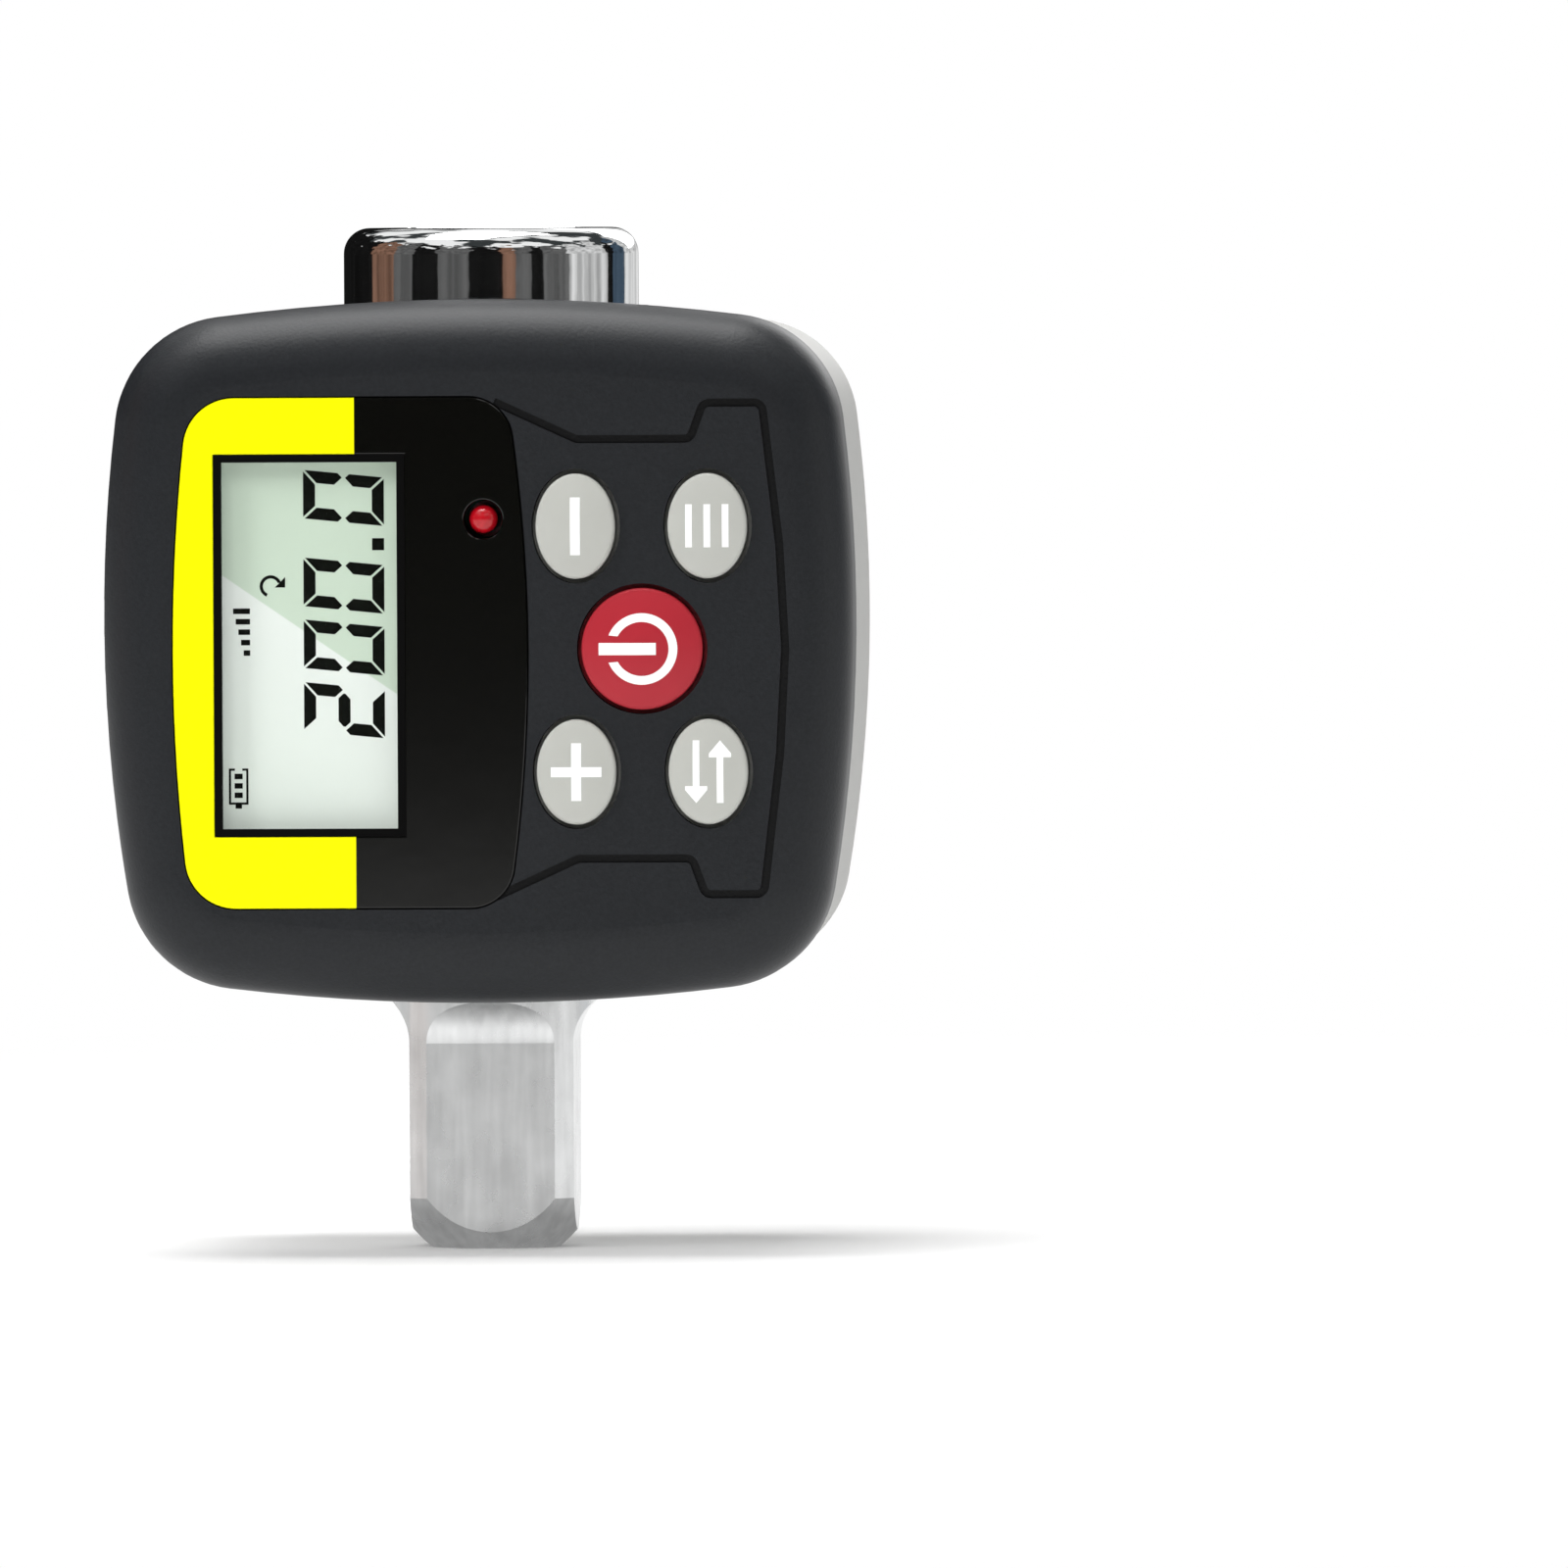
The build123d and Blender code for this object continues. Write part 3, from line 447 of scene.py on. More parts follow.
# Places read from the display's and face plate's own layout, in millimetres along the reading
# direction (from the case's middle upwards) or across it (from the drive axis to the right)
BORDER_END_X = -9.15 * MM
DIGIT_FOOT_X = -7.03 * MM
READING = [("2", -6.57), ("0", -1.77), ("0", 2.97), ("0", 9.69)]
POINT_START = 7.84
SEVEN_SEGMENTS = {"0": "abcdef", "2": "abged"}
# Both ends of the slanting line on the display film where the painted reflection of the pane ends,
# to the right and upwards
FILM_LINE_START = (-19.3, 5.76)
FILM_LINE_END = (-6.72, -2.84)
# Width of that line, how far below it the painted reflection of the pane fades, and how green the
# film is where that fade starts
FILM_EDGE, FILM_FADE, FILM_FADE_SHARE = 0.15 * MM, 16 * MM, 0.3
# Painted light: the display film glows by this share of its colour, though it has no lamp of its
# own
FILM_PAINTED_GLOW = 0.33
# Height up to which the shaft is satin, which lies inside the case, and where the mirror starts
SATIN_END = 0.0285
MIRROR_START = SATIN_END + 2 * MM
# Roughness of the mirror, and least and most of the satin
MIRROR_ROUGH, SATIN_ROUGH = 0.06, (0.24, 0.3)
# Grain of wear blotches, lengthwise marks and waves in the mirror, in metres
BLOTCH_GRAIN, MARK_GRAIN, WAVE_GRAIN = 0.004, 0.0008, 0.0045
# Range of blotches times marks that is spread from no mark to a full one
MARK_RANGE = (0.12, 0.38)
# Colours of the bright satin and of a full mark as shares of the mirror's
SATIN_SHARE, MARK_SHARE = 1.12, 0.93
# Depth of the waves, and of the marks as a share of it
WAVE_DEPTH, MARK_DEPTH_SHARE = 0.025 * MM, 0.15


def plated_steel(colour):
    # Chromium plate on turned steel: mirror bright on the boss, which was buffed and is a little
    # wavy, and satin with lengthwise marks on the drive, which was tumbled before plating
    name = "chromium plated steel"
    material, tree, shader = new_finish(name, colour, MIRROR_ROUGH, 1.0)
    place = object_place(tree)
    satin = mapped(tree, axes_of(tree, place)["Z"], (SATIN_END, MIRROR_START), (1.0, 0.0))
    blotch = noise(tree, place, 1 / BLOTCH_GRAIN, 4.0)
    wear = mapped(tree, blotch, NOISE_RANGE, SATIN_ROUGH)
    tree.links.new(mixed_value(tree, satin, MIRROR_ROUGH, wear), shader.inputs["Roughness"])
    # Lengthwise marks: noise that is ten times as long up the shaft as across it
    drawn = add_node(tree, "ShaderNodeMapping", {"Vector": place, "Scale": (1, 1, 0.1)})
    marks = noise(tree, drawn.outputs["Vector"], 1 / MARK_GRAIN, 1.5)
    spread = mapped(tree, computed(tree, "MULTIPLY", blotch, marks), MARK_RANGE)
    shade = computed(tree, "MULTIPLY", spread, satin)
    bright = tuple(min(1.0, c * SATIN_SHARE) for c in colour)
    dull = tuple(c * MARK_SHARE for c in colour)
    tone = mixed_colour(tree, satin, colour, bright)
    tree.links.new(mixed_colour(tree, shade, tone, dull), shader.inputs["Base Color"])
    waves = noise(tree, place, 1 / WAVE_GRAIN)
    lines = computed(tree, "MULTIPLY", marks, MARK_DEPTH_SHARE)
    add_bump(tree, shader, mixed_value(tree, satin, waves, lines), 1.0, WAVE_DEPTH)
    return material


def bearing_steel():
    # Hardened and polished ball: a small mirror with a few roll marks
    return plain_finish("polished bearing steel", linear("#C9CACC"), 0.12, 1.0, mottle=(1.5, 0.08))


def spring_steel():
    # Drawn and hardened steel: grey, half bright
    return plain_finish("spring steel", linear("#9A9B9D"), 0.32, 1.0, mottle=(2, 0.12))


def black_oxide_steel():
    # Blackened screw: dull, nearly black, oily sheen
    return plain_finish("black oxide steel", linear("#2A2A2B"), 0.42, 0.9, relief=(0.3, 0.01, 0.4))


def black_acetal():
    # Machined acetal bush: waxy, even, slightly bright
    return plain_finish("black acetal", linear("#17181A"), 0.38, relief=(0.6, 0.01, 0.3))


def amber_film():
    # Polyimide foil: clear amber over dull copper, smooth
    return plain_finish("polyimide film", linear("#B4741E"), 0.28, mottle=(1.2, 0.15))


def textured_abs(name, colour, roughness, share):
    # Moulded ABS from a spark-eroded tool: a fine even grain that breaks up every highlight. The
    # real grain is near 0.1 mm and is drawn at 0.26 mm, so that it shows
    mottle, relief = (0.3, share), (0.26, 0.03, 0.6)
    return plain_finish(
        name, colour, roughness, mottle=mottle, relief=relief, Specular_IOR_Level=0.3
    )


# Depths below the cover's front where the dark of a recess starts, is full and ends
RECESS_START, RECESS_FULL, RECESS_END = 0.1 * MM, 0.3 * MM, 2.5 * MM
# Size of a normal's Y part on a face that counts as level with the front, and as steep to it
LEVEL_FACE, STEEP_FACE = 0.99, 0.5
# What is left of the cover's colour in a recess
RECESS_SHADE = 0.25


def shaded_recesses(tree, shader, colour):
    """Darkens the groove and the button holes, where light from the room hardly gets in.

    Their faces are level or steep, and those of the cover's rounded edge are neither.
    """
    place = axes_of(tree, object_place(tree))["Y"]
    depth = mapped(tree, place, (COVER_LOW.y + RECESS_START, COVER_LOW.y + RECESS_FULL))
    surface = add_node(tree, "ShaderNodeNewGeometry").outputs["True Normal"]
    level = computed(tree, "ABSOLUTE", axes_of(tree, surface)["Y"])
    middle, reach = (LEVEL_FACE + STEEP_FACE) / 2, (LEVEL_FACE - STEEP_FACE) / 2
    slanted = computed(tree, "COMPARE", level, middle, reach)
    square = computed(tree, "SUBTRACT", 1.0, slanted)
    half = RECESS_END / 2
    near = computed(tree, "COMPARE", place, COVER_LOW.y + half, half)
    inside = computed(tree, "MULTIPLY", computed(tree, "MULTIPLY", depth, square), near)
    tone = shader.inputs["Base Color"].links[0].from_socket
    deep = tuple(c * RECESS_SHADE for c in colour)
    tree.links.new(mixed_colour(tree, inside, tone, deep), shader.inputs["Base Color"])


def satin_abs(name, colour, roughness):
    # Moulded ABS from a polished tool: even colour, soft highlight, the least orange peel
    mottle, relief = (3, 0.03), (0.9, 0.02, 0.15)
    return plain_finish(
        name, colour, roughness, mottle=mottle, relief=relief, Specular_IOR_Level=0.3
    )


ACRYLIC_IOR = 1.49


def printed_acrylic(name, colour, roughness, shine):
    # Screen print behind clear acrylic: flat colour with the sheet's gloss over it
    shines = {"IOR": ACRYLIC_IOR, "Specular_IOR_Level": shine}
    mottle, relief = (6, 0.02), (2.5, 0.02, 0.1)
    return plain_finish(name, colour, roughness, mottle=mottle, relief=relief, **shines)


def black_frame():
    # Black anodised sheet round the window: matt and nearly black
    name, relief = "black anodised frame", (0.3, 0.01, 0.3)
    return plain_finish(name, linear("#040404"), 0.5, relief=relief, Specular_IOR_Level=0.1)


def clear_acrylic():
    # Cast acrylic pane: nearly invisible, with a little of the room on it
    return plain_finish("clear acrylic", linear("#1A1C1A"), 0.03, IOR=ACRYLIC_IOR, Alpha=0.05)


def display_film(green, pale):
    # Reflective liquid crystal cell: grey-green film, greener above a slanting line. Below it the
    # pane's reflection is painted on as the pale colour, and fades a little further down. It is
    # smooth and without shine of its own, and glows with painted light
    material, tree, shader = new_finish("display film", pale, 0.6, Specular_IOR_Level=0.1)
    axes = axes_of(tree, object_place(tree))
    slope = (FILM_LINE_END[1] - FILM_LINE_START[1]) / (FILM_LINE_END[0] - FILM_LINE_START[0])
    rise = computed(tree, "MULTIPLY_ADD", axes["X"], -slope, axes["Z"])
    line = CASE_MID_Z + (FILM_LINE_START[1] - slope * FILM_LINE_START[0]) * MM
    # Painted reflection of the pane: pale below the line, a little greener further down
    above = mapped(tree, rise, (line, line + FILM_EDGE))
    fade = mapped(tree, rise, (line - FILM_FADE, line), (FILM_FADE_SHARE, 0.0))
    film = mixed_colour(tree, computed(tree, "MAXIMUM", above, fade), pale, green)
    tree.links.new(film, shader.inputs["Base Color"])
    # Painted light: the film, with its painted reflection, glows though no lamp is behind it
    tree.links.new(film, shader.inputs["Emission Color"])
    shader.inputs["Emission Strength"].default_value = FILM_PAINTED_GLOW
    return material


def display_ink(colour):
    # Switched liquid crystal: flat near-black without shine
    return plain_finish("display ink", colour, 0.6, mottle=(2, 0.05), Specular_IOR_Level=0.1)


def red_epoxy(colour):
    # Cast red epoxy: deep colour with a glassy dome
    material, tree, shader = new_finish(
        "red epoxy", colour, 0.22, Coat_Weight=0.3, Coat_Roughness=0.12, Subsurface_Weight=0.15
    )
    shader.inputs["Subsurface Radius"].default_value = (1.2 * MM, 0.2 * MM, 0.15 * MM)
    shader.inputs["Subsurface Scale"].default_value = 1.0
    add_mottle(tree, shader, colour, 0.8 * MM, 0.12)
    return material


def pad_print(colour):
    # Pad-printed white ink: flat, thin, a little chalky
    return plain_finish("white pad print", colour, 0.5, relief=(0.4, 0.005, 0.2))


# Pitch of the board's tracks, in metres
TRACK_PITCH = 0.004


def solder_mask():
    # Green solder mask over copper tracks: lacquer gloss with faint lighter lines
    colour = linear("#0E4F2A")
    material, tree, shader = new_finish("green solder mask", colour, 0.25)
    pattern = {"Vector": object_place(tree), "Scale": 1 / TRACK_PITCH, "Mortar Size": 0.04}
    for name, share in (("Color1", 1), ("Color2", 1.25), ("Mortar", 1.8)):
        pattern[name] = (*(c * share for c in colour), 1)
    tracks = add_node(tree, "ShaderNodeTexBrick", pattern)
    tree.links.new(tracks.outputs["Color"], shader.inputs["Base Color"])
    return material


def moulded_epoxy():
    # Transfer-moulded epoxy of chips: matt black, finely grained
    return plain_finish("moulded epoxy", linear("#1B1B1C"), 0.55, relief=(0.25, 0.01, 0.4))


def silicone_rubber(name, colour):
    # Moulded silicone: matt and even, with dust in its grain
    return plain_finish(
        name, linear(colour), 0.75, mottle=(1.5, 0.12), relief=(0.35, 0.02, 0.3)
    )


# Middle of a cell's coloured band as a share of its left end's X, the band's half width, and how
# far the film stops short of the ends
BAND_PLACE, BAND_HALF, BARE_END = 0.62, 4.5 * MM, 1.2 * MM


def cell_jacket(node):
    # Printed film round a steel can: dark with one copper-coloured band, bare steel at both ends
    low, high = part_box(node)
    dark, band = linear("#1C2226"), linear("#A8703A")
    material, tree, shader = new_finish(f"printed film, {node}", dark, 0.3)
    along = axes_of(tree, object_place(tree))["X"]
    banded = computed(tree, "COMPARE", along, low.x * BAND_PLACE, BAND_HALF)
    film = mixed_colour(tree, banded, dark, band)
    reach = computed(tree, "ABSOLUTE", computed(tree, "SUBTRACT", along, (low.x + high.x) / 2))
    bare = computed(tree, "GREATER_THAN", reach, (high.x - low.x) / 2 - BARE_END)
    whole = mixed_colour(tree, bare, film, linear("#B9BABC"))
    tree.links.new(whole, shader.inputs["Base Color"])
    tree.links.new(bare, shader.inputs["Metallic"])
    return material


def nickel_plate():
    # Nickel on spring brass: warm grey, half bright
    return plain_finish("nickel plate", linear("#B7B2A6"), 0.28, 1.0, mottle=(2, 0.1))


def zinc_plate():
    # Zinc-plated screw: pale grey with a bluish bloom
    return plain_finish("zinc plate", linear("#B4B8BC"), 0.35, 1.0, mottle=(1, 0.12))


def wire_cover():
    # Soft PVC cover: red, faintly shiny
    return plain_finish("soft PVC", linear("#A51E1E"), 0.42, relief=(0.5, 0.01, 0.3))


# Corners closer together than this are one
WELD = 0.001 * MM


def merged_copy(node, name):
    """A copy of a packed node with its loose triangles merged."""
    made = NODES[node].copy()
    made.data = NODES[node].data.copy()
    made.parent = None
    made.name = name
    made.data.name = name
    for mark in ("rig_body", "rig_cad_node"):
        del made[mark]
    bpy.context.scene.collection.objects.link(made)
    pick(made)
    start_edit()
    bpy.ops.mesh.remove_doubles(threshold=WELD)
    bpy.ops.mesh.dissolve_limited(angle_limit=math.radians(0.5))
    end_edit()
    return made


def display_bar(across, along, x, z):
    """A dark mark on the display, in millimetres, with its middle at x and z.

    x runs from the drive axis and z from the case's middle.
    """
    y = GLASS_LOW.y - PRINT_LIFT
    return flat_bar(across * MM, along * MM, x * MM, CASE_MID_Z + z * MM, y)


def battery_sign():
    """An open frame with three bars and a terminal, at the display's lower left."""
    line, left, right, low, high = 0.17, -19.04, -17.54, -11.62, -8.85
    terminal, deep, stub, stub_place = 0.5, 0.3, 0.3, 0.43
    bar_width, bar_depth, pitch = 0.62, 0.42, 0.72
    middle = (left + right) / 2
    parts = [
        display_bar(line, high - low, left + line / 2, (low + high) / 2),
        display_bar(line, high - low, right - line / 2, (low + high) / 2),
        display_bar(right - left - 2 * line, line, middle, low + line / 2),
        display_bar(terminal, deep, middle, low - deep / 2),
    ]
    for side in (-1, 1):
        parts.append(display_bar(stub, line, middle + side * stub_place, high - line / 2))
    for step in range(3):
        parts.append(display_bar(bar_width, bar_depth, middle, low + pitch + step * pitch))
    return joined(parts, "display_battery_sign")


def level_sign():
    """A row of bars that grow along the reading direction."""
    foot, shortest, growth, depth, pitch = -17.35, 0.5, 0.2, 0.42, 0.8
    parts = []
    for step in range(5):
        tall = shortest + growth * step
        parts.append(display_bar(tall, depth, foot - tall / 2, step * pitch))
    return joined(parts, "display_level_sign")


def turning_sign():
    """A small open ring with an arrow tip, which stands for the turning direction."""
    x, z, outer, inner = -15.75 * MM, CASE_MID_Z + 5.1 * MM, 0.85 * MM, 0.6 * MM
    y = GLASS_LOW.y - PRINT_LIFT
    opening, side, shift = inner * 0.35, 0.8 * MM, 0.2 * MM
    ring = flat_ring(outer, inner, x, z, y)
    cut(ring, (x + opening, y, z - opening), (1, 0, -1))
    middle = (outer + inner) / 2 / math.sqrt(2)
    tip = flat_bar(side, side, x + middle + shift, z + middle - shift, y)
    cut(tip, (x + middle + shift, y, z + middle - shift), (-1, 0, 1))
    return joined([ring, tip], "display_turning_sign")


def flat_ring(outer, inner, x, z, y):
    """A flat ring that faces the front."""
    deselect()
    bpy.ops.mesh.primitive_circle_add(vertices=64, radius=outer, rotation=(math.pi / 2, 0, 0))
    bpy.ops.object.transform_apply(location=False, rotation=True, scale=False)
    start_edit()
    bpy.ops.mesh.extrude_edges_move()
    share = inner / outer
    bpy.ops.transform.resize(value=(share, 1, share), center_override=(0, 0, 0))
    bpy.ops.mesh.select_all(action="SELECT")
    bpy.ops.mesh.normals_make_consistent(inside=False)
    bpy.ops.transform.translate(value=(x, y, z))
    end_edit()
    return facing_front(bpy.context.active_object)


def facing_front(piece):
    """Turns a flat sheet over if it faces the rear."""
    if piece.data.polygons[0].normal.y > 0:
        piece.data.flip_normals()
    return piece


# How far in front of its button a symbol is drawn, before it is laid on it
SYMBOL_LIFT = 1 * MM


def symbol_place(button):
    """The point in front of a button's middle, round which its symbol is drawn."""
    low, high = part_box(button)
    middle = (low + high) / 2
    return middle.x, low.y - SYMBOL_LIFT, middle.z


def symbol_bar(button, across, tall, dx=0.0, dz=0.0):
    """A flat bar in front of a button, from the button's middle."""
    x, y, z = symbol_place(button)
    return flat_bar(across, tall, x + dx, z + dz, y)


def minus_sign(sizes):
    return symbol_bar("button_minus", sizes.stroke, sizes.minus_length)


def plus_sign(sizes):
    upright = symbol_bar("button_plus", sizes.stroke, sizes.minus_length)
    arm = (sizes.plus_width - sizes.stroke) / 2
    reach = (sizes.stroke + arm) / 2
    sides = [symbol_bar("button_plus", arm, sizes.stroke, dx=side * reach) for side in (-1, 1)]
    return joined([upright, *sides], "symbol_plus")


def list_sign(sizes):
    """Three lines, as of a list."""
    pitch, tall = 1.4 * MM, 3.3 * MM
    lines = [
        symbol_bar("button_mode", sizes.fine_stroke, tall, dx=step * pitch) for step in (-1, 0, 1)
    ]
    return joined(lines, "symbol_mode")


def exchange_sign(sizes):
    """Two arrows side by side that point opposite ways."""
    button = "button_unit"
    x, y, z = symbol_place(button)
    apart, shaft, shaft_back = 0.92 * MM, 3.6 * MM, 0.6 * MM
    head_width, head_length, head_middle, head_tip = 1.7 * MM, 1.3 * MM, 1.75 * MM, 2.4 * MM
    parts = []
    for side in (-1, 1):
        dx = side * apart
        parts.append(symbol_bar(button, sizes.fine_stroke, shaft, dx=dx, dz=-side * shaft_back))
        head = symbol_bar(button, head_width, head_length, dx=dx, dz=side * head_middle)
        tip = (x + dx, y, z + side * head_tip)
        for lean in (-1, 1):
            cut(head, tip, (lean * 1.3, 0, side * 0.85))
        parts.append(head)
    return joined(parts, "symbol_unit")


def power_sign(sizes):
    """A ring open to the left, with a bar that lies through the opening."""
    x, y, z = symbol_place("button_power")
    outer, inner = sizes.ring_radius, sizes.ring_radius - sizes.ring_stroke
    opening, bar_length, bar_width, bar_x = 1.0 * MM, 4.4 * MM, 0.93 * MM, -1.1 * MM
    halves = []
    for up in (-1, 1):
        half = flat_ring(outer, inner, x, z, y)
        cut(half, (x, y, z + up * opening), (0, 0, -up))
        halves.append(half)
    belt = flat_ring(outer, inner, x, z, y)
    for up in (-1, 1):
        cut(belt, (x, y, z + up * opening), (0, 0, up))
    cut(belt, (x, y, z), (-1, 0, 0))
    bar = symbol_bar("button_power", bar_length, bar_width, dx=bar_x)
    return joined([*halves, belt, bar], "symbol_power")


def printed_on(symbol, button):
    """Lays a flat symbol on a button's dome and gives the ink its thickness."""
    pick(symbol)
    start_edit()
    bpy.ops.mesh.remove_doubles(threshold=WELD)
    bpy.ops.mesh.quads_convert_to_tris()
    bpy.ops.mesh.subdivide(number_cuts=5)
    end_edit()
    apply_modifier(
        symbol,
        "SHRINKWRAP",
        target=NODES[button],
        wrap_method="PROJECT",
        use_project_y=True,
        use_negative_direction=False,
        use_positive_direction=True,
        offset=PRINT_LIFT,
    )
    apply_modifier(symbol, "SOLIDIFY", thickness=PRINT_LIFT, offset=-1)
    return symbol


# Distances from the drive axis between which the floor passes into the white room, in metres
FLOOR_FADE = (0.1, 0.5)
# Distances between which the floor's glow in gloss rises out of a painted shade round the drive
# axis, and its strength at both
FLOOR_GLOW, FLOOR_GLOW_STRENGTH = (0.008, 0.03), (0.3, 1.0)
FLOOR_SIZE = 8


def make_floor():
    """A pale floor that keeps the shadow, and shows white in gloss, with a painted shade round the
    drive axis.
    """
    deselect()
    bpy.ops.mesh.primitive_plane_add(size=1, location=(0, 0, 0))
    floor = bpy.context.active_object
    floor.name = "studio_floor"
    start_edit()
    bpy.ops.transform.resize(value=(FLOOR_SIZE, FLOOR_SIZE, 1), center_override=(0, 0, 0))
    bpy.ops.mesh.subdivide(number_cuts=1)
    end_edit()
    material = bpy.data.materials.new("pale studio floor")
    material.use_nodes = True
    tree = material.node_tree
    shader = tree.nodes["Principled BSDF"]
    shader.inputs["Base Color"].default_value = (0.95, 0.95, 0.95, 1)
    shader.inputs["Roughness"].default_value = 0.9
    shader.inputs["Specular IOR Level"].default_value = 0.0
    length = {0: object_place(tree)}
    reach = add_node(tree, "ShaderNodeVectorMath", length, operation="LENGTH").outputs["Value"]
    fade = mapped(tree, reach, FLOOR_FADE, interpolation_type="SMOOTHSTEP")
    clear = add_node(tree, "ShaderNodeBsdfTransparent").outputs["BSDF"]
    seen = mixed_shader(tree, fade, shader.outputs["BSDF"], clear)
    # Painted shade: in gloss the floor is dimmer close to the drive axis, under the object
    strength = mapped(tree, reach, FLOOR_GLOW, FLOOR_GLOW_STRENGTH)
    light = {"Strength": strength, "Color": (1, 1, 1, 1)}
    glow = add_node(tree, "ShaderNodeEmission", light).outputs["Emission"]
    gloss = add_node(tree, "ShaderNodeLightPath").outputs["Is Glossy Ray"]
    whole = mixed_shader(tree, gloss, seen, glow)
    tree.links.new(whole, tree.nodes["Material Output"].inputs["Surface"])
    floor.data.materials.append(material)


# Strength of the room's light on the object
ROOM_LIGHT = 0.38
# Fineness of the dark things that gloss shows, and the range of noise across their soft edges
THINGS_SCALE, THINGS_EDGE = 3.2, (0.46, 0.52)


def make_world(scene):
    """An even white room: plain light on the object, white where it is seen or reflected."""
    world = bpy.data.worlds.new("white room")
    scene.world = world
    world.use_nodes = True
    tree = world.node_tree
    paths = add_node(tree, "ShaderNodeLightPath").outputs
    gloss = paths["Is Glossy Ray"]
    seen = computed(tree, "MAXIMUM", paths["Is Camera Ray"], gloss)
    shown = computed(tree, "MAXIMUM", seen, paths["Is Transmission Ray"])
    strength = mapped(tree, shown, (0.0, 1.0), (ROOM_LIGHT, 1.0))
    # Gloss also shows dark things that stand between the lamps
    ways = add_node(tree, "ShaderNodeTexCoord").outputs["Generated"]
    solid = mapped(tree, noise(tree, ways, THINGS_SCALE), THINGS_EDGE, (1.0, 0.0))
    dark = computed(tree, "MULTIPLY", solid, gloss)
    background = tree.nodes["Background"]
    seen_colour = mixed_colour(tree, dark, (1, 1, 1), linear("#3A3E3F"))
    tree.links.new(seen_colour, background.inputs["Color"])
    tree.links.new(strength, background.inputs["Strength"])


LAMPS = {
    # name: place, point it faces, width, height, radiance, whether gloss shows it
    "overhead_softbox": ((-0.06, 0.04, 0.62), (0, 0, 0.05), 0.5, 0.34, 5.8, True),
    "left_strip": ((-0.45, -0.4, 0.42), (0, -0.02, 0.045), 0.2, 0.4, 6.0, False),
    "front_softbox": ((-0.1, -0.7, 0.5), (0, 0, 0.04), 0.4, 0.35, 3.8, False),
    "rear_softbox": ((0.25, 0.6, 0.35), (0, 0, 0.04), 0.4, 0.4, 2.0, True),
}


def make_lamps():
    """Soft lamps with a known brightness of their faces."""
    for name, (place, aim, width, height, radiance, in_gloss) in LAMPS.items():
        lamp = bpy.data.lights.new(name, "AREA")
        lamp.shape = "RECTANGLE"
        lamp.size, lamp.size_y = width, height
        lamp.energy = radiance * width * height * math.pi
        holder = bpy.data.objects.new(name, lamp)
        holder.location = place
        facing = Vector(aim) - Vector(place)
        holder.rotation_euler = facing.to_track_quat("-Z", "Y").to_euler()
        holder.visible_glossy = in_gloss
        bpy.context.scene.collection.objects.link(holder)


# Plain cards of a studio, and where each starts round the object. Angles are in degrees from the
# display's side, positive to the right
CARDS = {
    "black": "#141414",
    "grey": "#606060",
    "white": "#D0D0D0",
    "wood": "#806050",
    "blue": "#405060",
}
SURROUND = [
    (-180, "black"),
    (-105, "wood"),
    (-80, "grey"),
    (-60, "black"),
    (-40, "grey"),
    (-15, "black"),
    (10, "wood"),
    (20, "grey"),
    (35, "black"),
    (45, "grey"),
    (65, "white"),
    (105, "black"),
    (115, "blue"),
    (130, "white"),
]
SURROUND_RADIUS = 1.0
SURROUND_HEIGHT = 0.9
# How far the cards' edges swing to both sides, in radians
SURROUND_SWING = 0.05
# Lowest and highest place of the cards' uneven upper edge, in metres
SKYLINE = (-0.1, 0.6)
# Fineness of the cards' uneven edges and of the streaks on them, and the streaks' strength
EDGE_SCALE, STREAK_SCALE, STREAK_STRENGTH = 5.0, 14.0, (0.6, 1.4)


def make_surround():
    """A ring of cards that only shows in gloss, as photographers stand them round chrome."""
    deselect()
    bpy.ops.mesh.primitive_cylinder_add(
        vertices=96,
        radius=SURROUND_RADIUS,
        depth=SURROUND_HEIGHT,
        location=(0, 0, SURROUND_HEIGHT / 2),
        end_fill_type="NOTHING",
    )
    ring = bpy.context.active_object
    ring.name = "surround_cards"
    material = bpy.data.materials.new("surround cards")
    material.use_nodes = True
    tree = material.node_tree
    tree.nodes.remove(tree.nodes["Principled BSDF"])
    place = object_place(tree)
    axes = axes_of(tree, place)
    behind = computed(tree, "MULTIPLY", axes["Y"], -1.0)
    angle = computed(tree, "ARCTAN2", axes["X"], behind)
    ragged = noise(tree, place, EDGE_SCALE)
    swing = mapped(tree, ragged, NOISE_RANGE, (-SURROUND_SWING, SURROUND_SWING))
    share = mapped(tree, computed(tree, "ADD", angle, swing), (-math.pi, math.pi))
    ramp = add_node(tree, "ShaderNodeValToRGB", {"Fac": share})
    ramp.color_ramp.interpolation = "CONSTANT"
    stops = ramp.color_ramp.elements
    stops.remove(stops[1])
    stops[0].color = (*linear(CARDS[SURROUND[0][1]]), 1)
    for degrees, card in SURROUND[1:]:
        stops.new((degrees + 180) / 360).color = (*linear(CARDS[card]), 1)
    streaks = noise(tree, place, STREAK_SCALE)
    strength = mapped(tree, streaks, NOISE_RANGE, STREAK_STRENGTH)
    light = {"Color": ramp.outputs["Color"], "Strength": strength}
    glow = add_node(tree, "ShaderNodeEmission", light).outputs["Emission"]
    skyline = mapped(tree, ragged, NOISE_RANGE, SKYLINE)
    over = computed(tree, "GREATER_THAN", axes["Z"], skyline)
    clear = add_node(tree, "ShaderNodeBsdfTransparent").outputs["BSDF"]
    whole = mixed_shader(tree, over, glow, clear)
    tree.links.new(whole, tree.nodes["Material Output"].inputs["Surface"])
    ring.data.materials.append(material)
    ring.visible_camera = False
    ring.visible_diffuse = False
    ring.visible_shadow = False
    ring.visible_transmission = False


